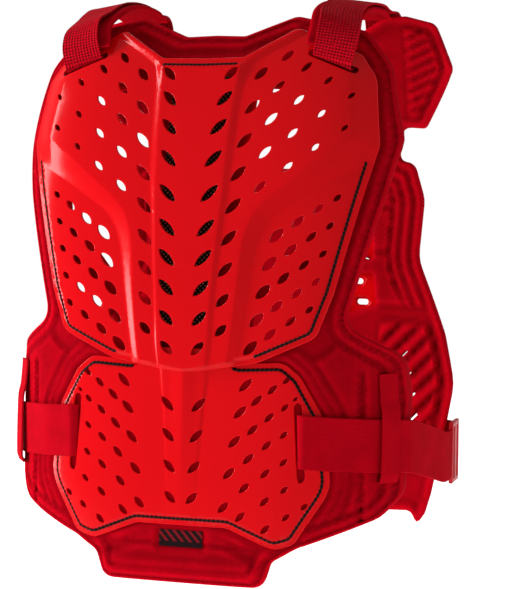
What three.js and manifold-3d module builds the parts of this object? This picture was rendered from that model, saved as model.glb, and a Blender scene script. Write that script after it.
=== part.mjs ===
// Roost deflector: a body protector with hard front and back plates over padded liners,
// joined over the shoulders by padded webbing straps and round the waist by elastic straps.
// Millimetres, +Z up. The origin is the shoulder seat: the point between the shoulders,
// level with the highest undersides of the two shoulder pads. The front faces -Y and
// the wearer's left is +X.

import * as THREE from 'three';
import { mergeVertices } from 'three/addons/utils/BufferGeometryUtils.js';
import Module from 'manifold-3d';

const wasm = await Module();
wasm.setup();

// Body that the vest wraps
const torsoHeight = 522;        // shoulder seat down to the foot of the front flap
const torsoHalfWidth = 200;     // half width of the front sections at the waist
const backHalfWidth = 216;      // half width of the back sections at the waist
const frontReach = 168;         // shoulder seat forward to the plates at the belly
const backReach = 108;          // shoulder seat back to the back liner's inner face

// Hard plates
const chestHalfWidth = 166;
const chestHeight = 307;
const chestTopDrop = 22;        // shoulder seat down to the plate's highest points
const abdomenHalfWidth = 134;
const abdomenHeight = 176;
const plateOverlap = 19;        // chest plate over abdomen plate
const plateWall = 3;
const bandRise = 6;             // raised shoulder area above the outer lower panels
const creaseRise = 2;           // centre panel above the raised area
const spineRise = 5;            // raised spine panel of the back plates
const edgeFade = 22;            // width over which the raised area returns at the sides
const chestLift = 3.6;          // chest plate proud of the abdomen plate
const smallestPierced = 12;     // shorter ventilation holes are left to the surface finish

// Liners and mesh
const linerWall = 10;
const linerHalfWidth = 190;
const flapPuff = 6;
const meshWall = 1;
const meshHalfWidth = 29;
const ventHalfWidth = 25;       // centre vent of the front liner
const clearance = 0.3;          // between touching pieces

// Back
const backPlateHalfWidth = 132;
const backPlateHeight = 190;
const lowerBackHalfWidth = 150;
const lowerBackHeight = 150;
const backLinerHalfWidth = 198;

// Straps and small parts
const webbingWidth = 38;
const webbingWall = 2;
const shoulderX = 120;          // centre of the shoulder straps
const padWidth = 46;
const padWall = 7;
const padShift = 4.5;           // pad's centre towards the neck from the webbing's
const webbingTail = 70;         // webbing sewn down the back of the vest
const slotWidth = 6.4;
const elasticWidth = 48;
const elasticWall = 1.8;
const waistSlotX = 107;
const waistSlotHeight = 62;
const waistDrop = 390;          // shoulder seat down to the elastic's centre at the slot
const waistSag = 32;            // further drop of the elastic at the buckle
const keeperWidth = 20;
const keeperAbove = 41;         // above the elastic's edge
const keeperBelow = 9;          // below it
const keeperWall = 1.6;
const keeperX = 174;
const buckleWidth = 60;
const buckleLength = 30;
const buckleWall = 4;
const labelWidth = 41;
const labelHeight = 15;
const labelWall = 1;

const straightFrom = 0.955;     // share of the half width where a section runs out straight

// Sections of the body, as shares: down of torsoHeight, front of frontReach, back of
// backReach, width of the half widths, wrap of torsoHalfWidth (how far the sides turn
// back), power of the superellipse that rounds the section.
const sections = [
  { down: -0.03, front: 0.24, back: 0.52, width: 0.88, wrap: 0.52, power: 4.0 },
  { down: 0.042, front: 0.427, back: 0.78, width: 0.90, wrap: 0.55, power: 4.0 },
  { down: 0.121, front: 0.602, back: 0.92, width: 0.92, wrap: 0.56, power: 4.0 },
  { down: 0.210, front: 0.720, back: 0.98, width: 0.935, wrap: 0.56, power: 4.0 },
  { down: 0.328, front: 0.816, back: 1.00, width: 0.95, wrap: 0.58, power: 3.9 },
  { down: 0.490, front: 0.903, back: 0.98, width: 0.96, wrap: 0.72, power: 3.6 },
  { down: 0.690, front: 0.951, back: 0.93, width: 0.995, wrap: 0.91, power: 3.3 },
  { down: 0.850, front: 0.988, back: 0.92, width: 1.00, wrap: 0.93, power: 3.2 },
  { down: 1.060, front: 1.015, back: 0.93, width: 0.99, wrap: 0.91, power: 3.2 },
];

// Ridge lines that run down both front plates. down: share of torsoHeight; the next four
// are shares of chestHalfWidth: both edges of the centre crease and both edges of the
// shoulder band, which swings in from the sides and tapers to a point at the belly;
// fade: share of the full relief.
const ridges = [
  { down: -0.02, creaseIn: 0.7, creaseOut: 0.76, bandIn: 1.18, bandOut: 1.3, fade: 1 },
  { down: 0.042, creaseIn: 0.512, creaseOut: 0.584, bandIn: 1.14, bandOut: 1.24, fade: 1 },
  { down: 0.094, creaseIn: 0.241, creaseOut: 0.331, bandIn: 1.1, bandOut: 1.2, fade: 1 },
  { down: 0.109, creaseIn: 0.226, creaseOut: 0.274, bandIn: 1.09, bandOut: 1.193, fade: 1 },
  { down: 0.166, creaseIn: 0.21, creaseOut: 0.25, bandIn: 1.042, bandOut: 1.163, fade: 1 },
  { down: 0.226, creaseIn: 0.202, creaseOut: 0.241, bandIn: 0.898, bandOut: 1.12, fade: 1 },
  { down: 0.2715, creaseIn: 0.196, creaseOut: 0.235, bandIn: 0.699, bandOut: 0.97, fade: 0.98 },
  { down: 0.3067, creaseIn: 0.194, creaseOut: 0.227, bandIn: 0.554, bandOut: 0.765, fade: 0.95 },
  { down: 0.3374, creaseIn: 0.191, creaseOut: 0.216, bandIn: 0.434, bandOut: 0.602, fade: 0.9 },
  { down: 0.3627, creaseIn: 0.185, creaseOut: 0.207, bandIn: 0.367, bandOut: 0.485, fade: 0.85 },
  { down: 0.395, creaseIn: 0.178, creaseOut: 0.198, bandIn: 0.328, bandOut: 0.418, fade: 0.8 },
  { down: 0.43, creaseIn: 0.171, creaseOut: 0.19, bandIn: 0.31, bandOut: 0.386, fade: 0.75 },
  { down: 0.502, creaseIn: 0.156, creaseOut: 0.171, bandIn: 0.292, bandOut: 0.349, fade: 0.68 },
  { down: 0.586, creaseIn: 0.145, creaseOut: 0.154, bandIn: 0.265, bandOut: 0.307, fade: 0.6 },
  { down: 0.634, creaseIn: 0.127, creaseOut: 0.136, bandIn: 0.234, bandOut: 0.289, fade: 0.52 },
  { down: 0.7355, creaseIn: 0.096, creaseOut: 0.105, bandIn: 0.19, bandOut: 0.2235, fade: 0.34 },
  { down: 0.858, creaseIn: 0.075, creaseOut: 0.084, bandIn: 0.148, bandOut: 0.159, fade: 0.06 },
  { down: 0.948, creaseIn: 0.066, creaseOut: 0.072, bandIn: 0.127, bandOut: 0.139, fade: 0 },
  { down: 0.982, creaseIn: 0.066, creaseOut: 0.072, bandIn: 0.127, bandOut: 0.139, fade: 0 },
  { down: 1.035, creaseIn: 0.066, creaseOut: 0.072, bandIn: 0.127, bandOut: 0.139, fade: 0 },
];

// Half outlines from the top centre down the wearer's left side to the bottom centre.
// across: share of the half width; down: share of the height; round: corner radius.
const chestOutline = [
  { across: 0.000, down: 0.091, round: 0 },
  { across: 0.236, down: 0.088, round: 5 },
  { across: 0.506, down: 0.000, round: 9 },
  { across: 0.860, down: 0.080, round: 14 },
  { across: 0.952, down: 0.150, round: 26 },
  { across: 0.998, down: 0.345, round: 22 },
  { across: 0.805, down: 0.770, round: 40 },
  { across: 0.720, down: 0.897, round: 16 },
  { across: 0.410, down: 0.972, round: 40 },
  { across: 0.100, down: 1.000, round: 30 },
];
const abdomenOutline = [
  { across: 0.290, down: 0.000, round: 0 },
  { across: 0.360, down: 0.072, round: 8 },
  { across: 0.680, down: 0.060, round: 16 },
  { across: 0.790, down: 0.130, round: 18 },
  { across: 0.930, down: 0.320, round: 24 },
  { across: 1.000, down: 0.690, round: 36 },
  { across: 0.770, down: 0.970, round: 14 },
  { across: 0.640, down: 1.000, round: 16 },
  { across: 0.320, down: 0.900, round: 14 },
];
const linerOutline = [
  { across: 0.000, down: 0.050, round: 0 },
  { across: 0.150, down: 0.052, round: 12 },
  { across: 0.390, down: 0.016, round: 12 },
  { across: 0.740, down: 0.044, round: 20 },
  { across: 0.880, down: 0.106, round: 34 },
  { across: 0.955, down: 0.235, round: 40 },
  { across: 0.900, down: 0.335, round: 30 },
  { across: 0.745, down: 0.550, round: 20 },
  { across: 0.980, down: 0.606, round: 28 },
  { across: 1.000, down: 0.680, round: 40 },
  { across: 0.985, down: 0.850, round: 20 },
  { across: 0.900, down: 0.884, round: 22 },
  { across: 0.560, down: 0.930, round: 30 },
  { across: 0.440, down: 0.955, round: 12 },
  { across: 0.400, down: 1.000, round: 14 },
];
const backLinerOutline = [
  { across: 0.000, down: 0.050, round: 0 },
  { across: 0.330, down: 0.046, round: 20 },
  { across: 0.500, down: 0.028, round: 16 },
  { across: 0.640, down: 0.000, round: 14 },
  { across: 0.750, down: 0.000, round: 14 },
  { across: 0.903, down: 0.015, round: 10 },
  { across: 0.985, down: 0.098, round: 10 },
  { across: 0.820, down: 0.210, round: 6 },
  { across: 0.695, down: 0.207, round: 10 },
  { across: 0.680, down: 0.270, round: 8 },
  { across: 0.760, down: 0.276, round: 14 },
  { across: 0.815, down: 0.345, round: 30 },
  { across: 0.790, down: 0.460, round: 40 },
  { across: 0.955, down: 0.600, round: 40 },
  { across: 1.020, down: 0.690, round: 40 },
  { across: 0.980, down: 0.760, round: 20 },
  { across: 0.890, down: 0.908, round: 20 },
  { across: 0.857, down: 0.947, round: 6 },
  { across: 0.811, down: 0.972, round: 5 },
  { across: 0.775, down: 0.946, round: 8 },
  { across: 0.560, down: 0.952, round: 30 },
];
const upperBackOutline = [
  { across: 0.000, down: 0.020, round: 0 },
  { across: 0.300, down: 0.018, round: 10 },
  { across: 0.560, down: -0.030, round: 14 },
  { across: 0.860, down: 0.060, round: 18 },
  { across: 0.960, down: 0.420, round: 40 },
  { across: 0.880, down: 0.870, round: 30 },
  { across: 0.560, down: 1.000, round: 24 },
];
const lowerBackOutline = [
  { across: 0.480, down: 0.000, round: 0 },
  { across: 0.860, down: 0.100, round: 20 },
  { across: 1.000, down: 0.420, round: 24 },
  { across: 0.940, down: 0.820, round: 24 },
  { across: 0.500, down: 1.000, round: 24 },
];

// Openings cut through the liners, one side each, as closed outlines of the same kind.
const linerWindows = [
  [
    { across: 0.262, down: 0.145, round: 6 }, { across: 0.610, down: 0.150, round: 8 },
    { across: 0.615, down: 0.305, round: 10 }, { across: 0.460, down: 0.358, round: 10 },
    { across: 0.235, down: 0.374, round: 6 },
  ],
  [
    { across: 0.205, down: 0.392, round: 5 }, { across: 0.272, down: 0.388, round: 5 },
    { across: 0.250, down: 0.545, round: 5 }, { across: 0.190, down: 0.545, round: 5 },
  ],
  [
    { across: 0.660, down: 0.328, round: 6 }, { across: 0.645, down: 0.366, round: 6 },
    { across: 0.410, down: 0.464, round: 6 }, { across: 0.350, down: 0.462, round: 6 },
    { across: 0.372, down: 0.402, round: 12 },
  ],
  [
    { across: 0.640, down: 0.464, round: 6 }, { across: 0.615, down: 0.500, round: 6 },
    { across: 0.400, down: 0.582, round: 6 }, { across: 0.310, down: 0.575, round: 6 },
    { across: 0.320, down: 0.528, round: 6 },
  ],
];
const backWindows = [
  [
    { across: 0.300, down: 0.350, round: 6 }, { across: 0.540, down: 0.372, round: 6 },
    { across: 0.552, down: 0.468, round: 6 }, { across: 0.300, down: 0.446, round: 6 },
  ],
  [
    { across: 0.310, down: 0.490, round: 6 }, { across: 0.556, down: 0.488, round: 6 },
    { across: 0.575, down: 0.552, round: 6 }, { across: 0.310, down: 0.585, round: 6 },
  ],
];
// Opening between the shoulder blades, seen through the chest plate's holes: half outline.
const backVent = [
  { across: 0.310, down: 0.083, round: 10 },
  { across: 0.330, down: 0.200, round: 20 },
  { across: 0.260, down: 0.290, round: 12 },
];

// Columns of leaf-shaped ventilation holes, one side each. count: holes in the column;
// across0 and across1: first and last hole as shares of the half width, bow: sideways bow;
// down0 and down1: shares of the height, ease: shift of the middle ones; long0, long1,
// swell and wide: sizes of the leaves in millimetres.
const chestHoles = [
  { count: 5, across0: 0.178, across1: 0.120, bow: -0.008, down0: 0.134, down1: 0.486,
    ease: -0.018, long0: 16, long1: 21, swell: 1, wide: 7.6 },
  { count: 5, across0: 0.110, across1: 0.089, bow: 0, down0: 0.586, down1: 0.935,
    ease: 0, long0: 21, long1: 16, swell: 1, wide: 7.8 },
  { count: 9, across0: 0.342, across1: 0.216, bow: -0.025, down0: 0.135, down1: 0.881,
    ease: 0.014, long0: 15, long1: 14, swell: 4.5, wide: 7.6 },
  { count: 5, across0: 0.475, across1: 0.398, bow: -0.008, down0: 0.083, down1: 0.466,
    ease: -0.005, long0: 13, long1: 14, swell: 1.5, wide: 6.4 },
  { count: 4, across0: 0.589, across1: 0.542, bow: -0.004, down0: 0.117, down1: 0.408,
    ease: 0, long0: 12, long1: 12, swell: 0, wide: 5.6 },
  { count: 3, across0: 0.717, across1: 0.683, bow: 0, down0: 0.157, down1: 0.351,
    ease: 0, long0: 9.5, long1: 9, swell: 0, wide: 5 },
  { count: 2, across0: 0.846, across1: 0.829, bow: 0, down0: 0.201, down1: 0.295,
    ease: 0, long0: 7.5, long1: 8, swell: 0, wide: 4.6 },
  { count: 5, across0: 0.807, across1: 0.687, bow: 0, down0: 0.496, down1: 0.816,
    ease: 0, long0: 8.5, long1: 9, swell: 0, wide: 5.4 },
  { count: 5, across0: 0.713, across1: 0.589, bow: 0, down0: 0.527, down1: 0.850,
    ease: 0, long0: 12, long1: 12, swell: 0, wide: 6 },
  { count: 5, across0: 0.607, across1: 0.483, bow: 0, down0: 0.565, down1: 0.889,
    ease: 0, long0: 14, long1: 14, swell: 0, wide: 7 },
  { count: 5, across0: 0.496, across1: 0.375, bow: 0, down0: 0.605, down1: 0.930,
    ease: 0, long0: 17, long1: 17, swell: 0, wide: 8.4 },
];
const abdomenHoles = [
  { count: 4, across0: 0.110, across1: 0.076, bow: 0, down0: 0.285, down1: 0.761,
    ease: 0, long0: 17, long1: 14, swell: 0, wide: 6.8 },
  { count: 5, across0: 0.432, across1: 0.298, bow: 0, down0: 0.175, down1: 0.798,
    ease: -0.024, long0: 16, long1: 13, swell: 0, wide: 6.6 },
  { count: 5, across0: 0.510, across1: 0.416, bow: 0, down0: 0.251, down1: 0.841,
    ease: 0, long0: 13.5, long1: 12, swell: 0, wide: 6 },
  { count: 6, across0: 0.614, across1: 0.587, bow: -0.02, down0: 0.193, down1: 0.898,
    ease: 0, long0: 11.5, long1: 11, swell: 0, wide: 5.6 },
  { count: 6, across0: 0.707, across1: 0.722, bow: -0.018, down0: 0.144, down1: 0.833,
    ease: 0, long0: 9, long1: 9, swell: 0, wide: 5 },
  { count: 1, across0: 0.766, across1: 0.766, bow: 0, down0: 0.238, down1: 0.238,
    ease: 0, long0: 6, long1: 6, swell: 0, wide: 3.6 },
  { count: 2, across0: 0.816, across1: 0.838, bow: 0, down0: 0.644, down1: 0.778,
    ease: 0, long0: 7.5, long1: 8, swell: 0, wide: 4.8 },
];

const leafLean = Math.PI / 4;      // the leaves' tops lean away from the centre
const leafSides = 6;
const arcStep = Math.PI / 4;

const redShell = { color: 0xe01020, roughness: 0.18, metalness: 0 };
const redPadding = { color: 0xa50a18, roughness: 0.9, metalness: 0 };
const redWebbing = { color: 0xb80c1c, roughness: 0.8, metalness: 0 };
const darkMesh = { color: 0x1c1614, roughness: 0.9, metalness: 0 };
const redBuckle = { color: 0xc80f1e, roughness: 0.4, metalness: 0 };
const blackLabel = { color: 0x140607, roughness: 0.8, metalness: 0 };

const mix = (a, b, t) => a + (b - a) * t;
const clamp01 = (t) => Math.min(1, Math.max(0, t));
const smooth = (t) => clamp01(t) * clamp01(t) * (3 - 2 * clamp01(t));

// Value of one column of a table at a place down it, on a smooth curve through its rows.
function curveAt(rows, key, down) {
  let i = 0;
  while (i < rows.length - 2 && down > rows[i + 1].down) i += 1;
  const slope = (k) => {
    const a = rows[Math.max(0, k - 1)];
    const b = rows[Math.min(rows.length - 1, k + 1)];
    return (b[key] - a[key]) / (b.down - a.down);
  };
  const [p, q] = [rows[i], rows[i + 1]];
  const span = q.down - p.down;
  const t = clamp01((down - p.down) / span);
  const [t2, t3] = [t * t, t * t * t];
  return (2 * t3 - 3 * t2 + 1) * p[key] + (t3 - 2 * t2 + t) * span * slope(i)
    + (3 * t2 - 2 * t3) * q[key] + (t3 - t2) * span * slope(i + 1);
}

// Value of one column of a table, straight between its rows.
function lineAt(rows, key, down) {
  let i = 0;
  while (i < rows.length - 2 && down > rows[i + 1].down) i += 1;
  const t = clamp01((down - rows[i].down) / (rows[i + 1].down - rows[i].down));
  return mix(rows[i][key], rows[i + 1][key], t);
}

// Depth of the body's surface at a height. face is -1 for the front and 1 for the back.
function bodyDepth(face, x, z) {
  const down = -z / torsoHeight;
  const reach = face < 0
    ? frontReach * curveAt(sections, 'front', down)
    : backReach * curveAt(sections, 'back', down);
  const half = (face < 0 ? torsoHalfWidth : backHalfWidth) * curveAt(sections, 'width', down);
  const wrap = torsoHalfWidth * curveAt(sections, 'wrap', down) * (face < 0 ? 1 : 0.6);
  const power = curveAt(sections, 'power', down);
  const across = Math.abs(x) / half;
  const near = Math.min(straightFrom, across);
  const slope = near ** (power - 1) * (1 - near ** power) ** (1 / power - 1);
  const turned = 1 - (1 - near ** power) ** (1 / power) + slope * (across - near);
  return face * (reach - wrap * turned);
}

// Point at a distance out from the body's surface, along its outward normal.
function onBody(face, x, z, out) {
  const h = 0.5;
  const y = bodyDepth(face, x, z);
  const yx = (bodyDepth(face, x + h, z) - bodyDepth(face, x - h, z)) / (2 * h);
  const yz = (bodyDepth(face, x, z + h) - bodyDepth(face, x, z - h)) / (2 * h);
  const normal = new THREE.Vector3(-yx, 1, -yz).multiplyScalar(face).normalize();
  return new THREE.Vector3(x, y, z).addScaledVector(normal, out);
}

// Corner points of an outline with its corners rounded by arcs.
function roundCorners(corners) {
  const points = [];
  corners.forEach((corner, i) => {
    const before = corners[(i + corners.length - 1) % corners.length];
    const after = corners[(i + 1) % corners.length];
    const here = new THREE.Vector2(corner.x, corner.z);
    const back = new THREE.Vector2(before.x, before.z).sub(here);
    const ahead = new THREE.Vector2(after.x, after.z).sub(here);
    const angle = Math.acos(THREE.MathUtils.clamp(
      back.clone().normalize().dot(ahead.clone().normalize()), -1, 1));
    const turn = Math.PI - angle;
    if (corner.round === 0 || turn < 0.02) {
      points.push(here);
      return;
    }
    const room = 0.48 * Math.min(back.length(), ahead.length());
    const reach = Math.min(corner.round * Math.tan(turn / 2), room);
    const start = here.clone().addScaledVector(back.normalize(), reach);
    const end = here.clone().addScaledVector(ahead.normalize(), reach);
    const steps = Math.max(1, Math.round(turn / arcStep));
    for (let k = 0; k <= steps; k += 1) {
      const t = k / steps;
      const a = start.clone().lerp(here, t);
      const b = here.clone().lerp(end, t);
      points.push(a.lerp(b, t));
    }
  });
  return points;
}

function corner(row, halfWidth, height, top, side) {
  return { x: side * row.across * halfWidth, z: top - row.down * height, round: row.round };
}

// Whole outline from its half table: down the wearer's left side and back up the right.
function wholeOutline(rows, halfWidth, height, top) {
  const left = rows.map((row) => corner(row, halfWidth, height, top, 1));
  const right = rows.filter((row) => row.across > 0)
    .map((row) => corner(row, halfWidth, height, top, -1)).reverse();
  return roundCorners([...left, ...right]);
}

function windowOutlines(tables, halfWidth, height, top) {
  return tables.flatMap((rows) => [1, -1].map(
    (side) => roundCorners(rows.map((row) => corner(row, halfWidth, height, top, side)))));
}

function toSolid(geometry) {
  geometry.deleteAttribute('normal');
  geometry.deleteAttribute('uv');
  const merged = mergeVertices(geometry, 1e-4);
  return new wasm.Manifold(new wasm.Mesh({
    numProp: 3,
    vertProperties: new Float32Array(merged.attributes.position.array),
    triVerts: new Uint32Array(merged.index.array),
  }));
}

function toGeometry(manifold) {
  const mesh = manifold.getMesh();
  const geometry = new THREE.BufferGeometry();
  geometry.setAttribute('position', new THREE.BufferAttribute(mesh.vertProperties, 3));
  geometry.setIndex(new THREE.BufferAttribute(mesh.triVerts, 1));
  const loose = geometry.toNonIndexed();
  loose.computeVertexNormals();
  return loose;
}

// Straight prism through the front or the back of the vest, along Y.
function prism(outline, face) {
  const depth = frontReach + backReach;
  const geometry = new THREE.ExtrudeGeometry(new THREE.Shape(outline), {
    depth, bevelEnabled: false, curveSegments: 1, steps: 1,
  });
  geometry.rotateX(Math.PI / 2);
  geometry.translate(0, face < 0 ? 0.25 * backReach : depth, 0);
  return toSolid(geometry);
}

// Closed wall between two offsets of the body's surface, on a grid of columns and rows.
function wall(face, heights, columnsAt, innerAt, outerAt) {
  const grid = heights.map((z) => columnsAt(z).map((x) => ({ x, z })));
  const rows = grid.length;
  const cols = grid[0].length;
  const positions = [];
  [outerAt, innerAt].forEach((layer) => grid.flat().forEach(({ x, z }) => {
    positions.push(...onBody(face, x, z, layer(x, z)).toArray());
  }));
  const at = (layer, r, c) => layer * rows * cols + r * cols + c;
  const index = [];
  const quad = (a, b, c, d) => (face < 0 ? index.push(a, b, c, a, c, d)
    : index.push(a, c, b, a, d, c));
  for (let r = 0; r < rows - 1; r += 1) {
    for (let c = 0; c < cols - 1; c += 1) {
      quad(at(0, r, c), at(0, r + 1, c), at(0, r + 1, c + 1), at(0, r, c + 1));
      quad(at(1, r, c), at(1, r, c + 1), at(1, r + 1, c + 1), at(1, r + 1, c));
    }
  }
  for (let c = 0; c < cols - 1; c += 1) {
    quad(at(0, 0, c), at(0, 0, c + 1), at(1, 0, c + 1), at(1, 0, c));
    quad(at(0, rows - 1, c + 1), at(0, rows - 1, c), at(1, rows - 1, c), at(1, rows - 1, c + 1));
  }
  for (let r = 0; r < rows - 1; r += 1) {
    quad(at(0, r + 1, 0), at(0, r, 0), at(1, r, 0), at(1, r + 1, 0));
    quad(at(0, r, cols - 1), at(0, r + 1, cols - 1), at(1, r + 1, cols - 1), at(1, r, cols - 1));
  }
  const geometry = new THREE.BufferGeometry();
  geometry.setAttribute('position', new THREE.Float32BufferAttribute(positions, 3));
  geometry.setIndex(index);
  return toSolid(geometry);
}

const mirrored = (half) => [...half.slice().reverse().map((x) => -x), 0, ...half];
const spread = (from, to, count) => Array.from(
  { length: count + 1 }, (_, k) => mix(from, to, k / count));

// Leaf-shaped hole outlines of a table of columns, for both sides.
function leafOutlines(table, halfWidth, height, top) {
  const outlines = [];
  table.forEach((column) => {
    for (let k = 0; k < column.count; k += 1) {
      const s = column.count > 1 ? k / (column.count - 1) : 0;
      const middle = 4 * s * (1 - s);
      const long = mix(column.long0, column.long1, s) + column.swell * middle;
      if (long < smallestPierced) continue;
      const across = mix(column.across0, column.across1, s) + column.bow * middle;
      const down = mix(column.down0, column.down1, s) + column.ease * middle;
      [1, -1].forEach((side) => {
        const centre = new THREE.Vector2(side * across * halfWidth, top - down * height);
        outlines.push(leaf(centre, long, column.wide, side));
      });
    }
  });
  return outlines;
}

function leaf(centre, long, wide, side) {
  return Array.from({ length: leafSides }, (_, k) => {
    const turn = (2 * Math.PI * k) / leafSides;
    const along = 0.5 * long * Math.sin(turn);
    const across = 0.5 * wide * Math.cos(turn) * Math.abs(Math.cos(turn)) ** 0.4;
    const lean = side * leafLean;
    return new THREE.Vector2(
      centre.x + along * Math.sin(lean) + across * Math.cos(lean),
      centre.y + along * Math.cos(lean) - across * Math.sin(lean),
    );
  });
}

// Slot of a given length and width, its ends rounded, between two points.
function slotOutline(from, to, width) {
  const along = to.clone().sub(from).normalize();
  const across = new THREE.Vector2(-along.y, along.x).multiplyScalar(width / 2);
  const tip = width * 0.3;
  return [
    from.clone().sub(across), from.clone().addScaledVector(along, -tip),
    from.clone().add(across), to.clone().add(across),
    to.clone().addScaledVector(along, tip), to.clone().sub(across),
  ];
}

// Flat strip swept along stations, each with a centre on its lower face, a width
// direction and a thickness. side is -1 for a copy mirrored to the wearer's right.
function strip(stations, side) {
  const positions = [];
  const index = [];
  const face = (a, b, c) => (side > 0 ? index.push(a, c, b) : index.push(a, b, c));
  stations.forEach((station, i) => {
    const before = stations[Math.max(0, i - 1)].centre;
    const after = stations[Math.min(stations.length - 1, i + 1)].centre;
    const along = after.clone().sub(before).normalize();
    const normal = station.across.clone().cross(along).normalize();
    const half = along.clone().cross(normal).normalize().multiplyScalar(station.width / 2);
    const low = station.centre;
    const high = low.clone().addScaledVector(normal, station.thickness);
    [low.clone().sub(half), low.clone().add(half), high.clone().add(half),
      high.clone().sub(half)].forEach((p) => positions.push(side * p.x, p.y, p.z));
  });
  const last = 4 * (stations.length - 1);
  for (let i = 0; i < stations.length - 1; i += 1) {
    for (let k = 0; k < 4; k += 1) {
      const [a, b] = [4 * i + k, 4 * i + ((k + 1) % 4)];
      face(a, b, b + 4);
      face(a, b + 4, a + 4);
    }
  }
  face(0, 2, 1);
  face(0, 3, 2);
  face(last, last + 1, last + 2);
  face(last, last + 2, last + 3);
  const geometry = new THREE.BufferGeometry();
  geometry.setAttribute('position', new THREE.Float32BufferAttribute(positions, 3));
  geometry.setIndex(index);
  return toSolid(geometry);
}

// Heights of the plates' levels above the body
const chestTop = -chestTopDrop;
const abdomenTop = chestTop - chestHeight + plateOverlap;
const linerOut = -clearance;                       // outer face of the front liner
const abdomenOut = 0;                              // inner face of the abdomen plate
const chestOut = chestLift;

function relief(x, z) {
  const down = -z / torsoHeight;
  const at = (key) => lineAt(ridges, key, down) * chestHalfWidth;
  const across = Math.abs(x);
  const fade = lineAt(ridges, 'fade', down);
  const step = (inner, outer) => clamp01((outer - across) / (outer - inner));
  const plateHalf = chestHalfWidth * lineAt(chestSides, 'across', (chestTop - z) / chestHeight);
  const side = smooth((plateHalf - across) / edgeFade);
  return creaseRise * fade * step(at('creaseIn'), at('creaseOut'))
    + bandRise * fade * side * step(at('bandIn'), at('bandOut'));
}

const chestSides = chestOutline.slice(3);

// All front pieces share one grid, whose columns follow the ridge lines, and all back
// pieces another, so that neighbours stay the same distance apart everywhere.
function frontColumns(z) {
  const down = -z / torsoHeight;
  const [a, b, c, d] = ['creaseIn', 'creaseOut', 'bandIn', 'bandOut'].map(
    (key, k) => Math.min(lineAt(ridges, key, down), 0.7 + 0.08 * k) * chestHalfWidth);
  const outer = linerHalfWidth + 6;
  return mirrored([a, b, mix(b, c, 0.6), c, d, mix(d, outer, 0.42), mix(d, outer, 0.74), outer]);
}

function frontWall(innerAt, outerAt) {
  const heights = ridges.map((row) => -row.down * torsoHeight);
  return wall(-1, heights, frontColumns, innerAt, outerAt);
}

function backWall(innerAt, outerAt) {
  const heights = spread(0.03 * torsoHeight, -1.0 * torsoHeight, 13);
  const columns = mirrored(backColumns.map((share) => share * backLinerHalfWidth));
  return wall(1, heights, () => columns, innerAt, outerAt);
}

const backColumns = [0.2, 0.4, 0.58, 0.72, 0.84, 0.94, 1.02];

function rectangle(halfWidth, top, bottom) {
  return [
    new THREE.Vector2(-halfWidth, bottom), new THREE.Vector2(halfWidth, bottom),
    new THREE.Vector2(halfWidth, top), new THREE.Vector2(-halfWidth, top),
  ];
}

// Part builders

const shoulderSlotZ = chestTop - 0.101 * chestHeight;
const shoulderSlotTilt = 8;

function chestPlate() {
  const shell = frontWall((x, z) => chestOut + relief(x, z),
    (x, z) => chestOut + plateWall + relief(x, z));
  const holes = leafOutlines(chestHoles, chestHalfWidth, chestHeight, chestTop);
  const slots = [1, -1].map((side) => slotOutline(
    new THREE.Vector2(side * (shoulderX - webbingWidth / 2 - 1), shoulderSlotZ + shoulderSlotTilt),
    new THREE.Vector2(side * (shoulderX + webbingWidth / 2 + 1), shoulderSlotZ - shoulderSlotTilt),
    slotWidth));
  const outline = wholeOutline(chestOutline, chestHalfWidth, chestHeight, chestTop);
  return pierced(shell, outline, [...holes, ...slots], -1);
}

function abdomenPlate() {
  const shell = frontWall((x, z) => abdomenOut + relief(x, z),
    (x, z) => abdomenOut + plateWall + relief(x, z));
  const holes = leafOutlines(abdomenHoles, abdomenHalfWidth, abdomenHeight, abdomenTop);
  const slots = [1, -1].map((side) => slotOutline(
    new THREE.Vector2(side * (waistSlotX - 2), -waistDrop + waistSlotHeight / 2),
    new THREE.Vector2(side * (waistSlotX + 2), -waistDrop - waistSlotHeight / 2),
    slotWidth + 1.6));
  const outline = wholeOutline(abdomenOutline, abdomenHalfWidth, abdomenHeight, abdomenTop);
  return pierced(shell, outline, [...holes, ...slots], -1);
}

function pierced(shell, outline, holes, face) {
  let solid = shell.intersect(prism(outline, face));
  holes.forEach((hole) => {
    solid = solid.subtract(prism(orient(hole), face));
  });
  return solid;
}

// Shapes are extruded the right way out only when they run anticlockwise.
function orient(outline) {
  return THREE.ShapeUtils.isClockWise(outline) ? outline.slice().reverse() : outline;
}

// Padding of the flap stands proud of the rest of the liner.
function flapRise(x, z) {
  const flapTop = abdomenTop - abdomenHeight - 9;
  const across = smooth((0.47 * linerHalfWidth - Math.abs(x)) / 14);
  return flapPuff * smooth((flapTop - z) / 18) * across;
}

function frontLiner() {
  const shell = frontWall(() => linerOut - linerWall, (x, z) => linerOut + flapRise(x, z));
  const outline = wholeOutline(linerOutline, linerHalfWidth, torsoHeight, 0);
  const vent = rectangle(ventHalfWidth, ventTop, ventBottom);
  const windows = windowOutlines(linerWindows, linerHalfWidth, torsoHeight, 0);
  return pierced(shell, outline, [...windows, vent], -1);
}

const ventTop = -0.135 * torsoHeight;
const ventBottom = -0.575 * torsoHeight;

function frontMesh() {
  const margin = 5;
  return frontWall(() => 0, () => meshWall).intersect(
    prism(rectangle(meshHalfWidth, ventTop + margin, ventBottom - margin), -1));
}

function frontLabel() {
  const middle = abdomenTop - 0.9 * abdomenHeight - 12.8;
  return frontWall((x, z) => flapRise(x, z), (x, z) => flapRise(x, z) + labelWall).intersect(
    prism(rectangle(labelWidth / 2, middle + labelHeight / 2, middle - labelHeight / 2), -1));
}

// Back pieces lie outward of the liner's inner face.
const backLinerOut = linerWall;
const backPlateOut = backLinerOut + clearance;
const upperBackTop = -0.296 * torsoHeight;
const lowerBackTop = upperBackTop - backPlateHeight - 4;

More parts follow.
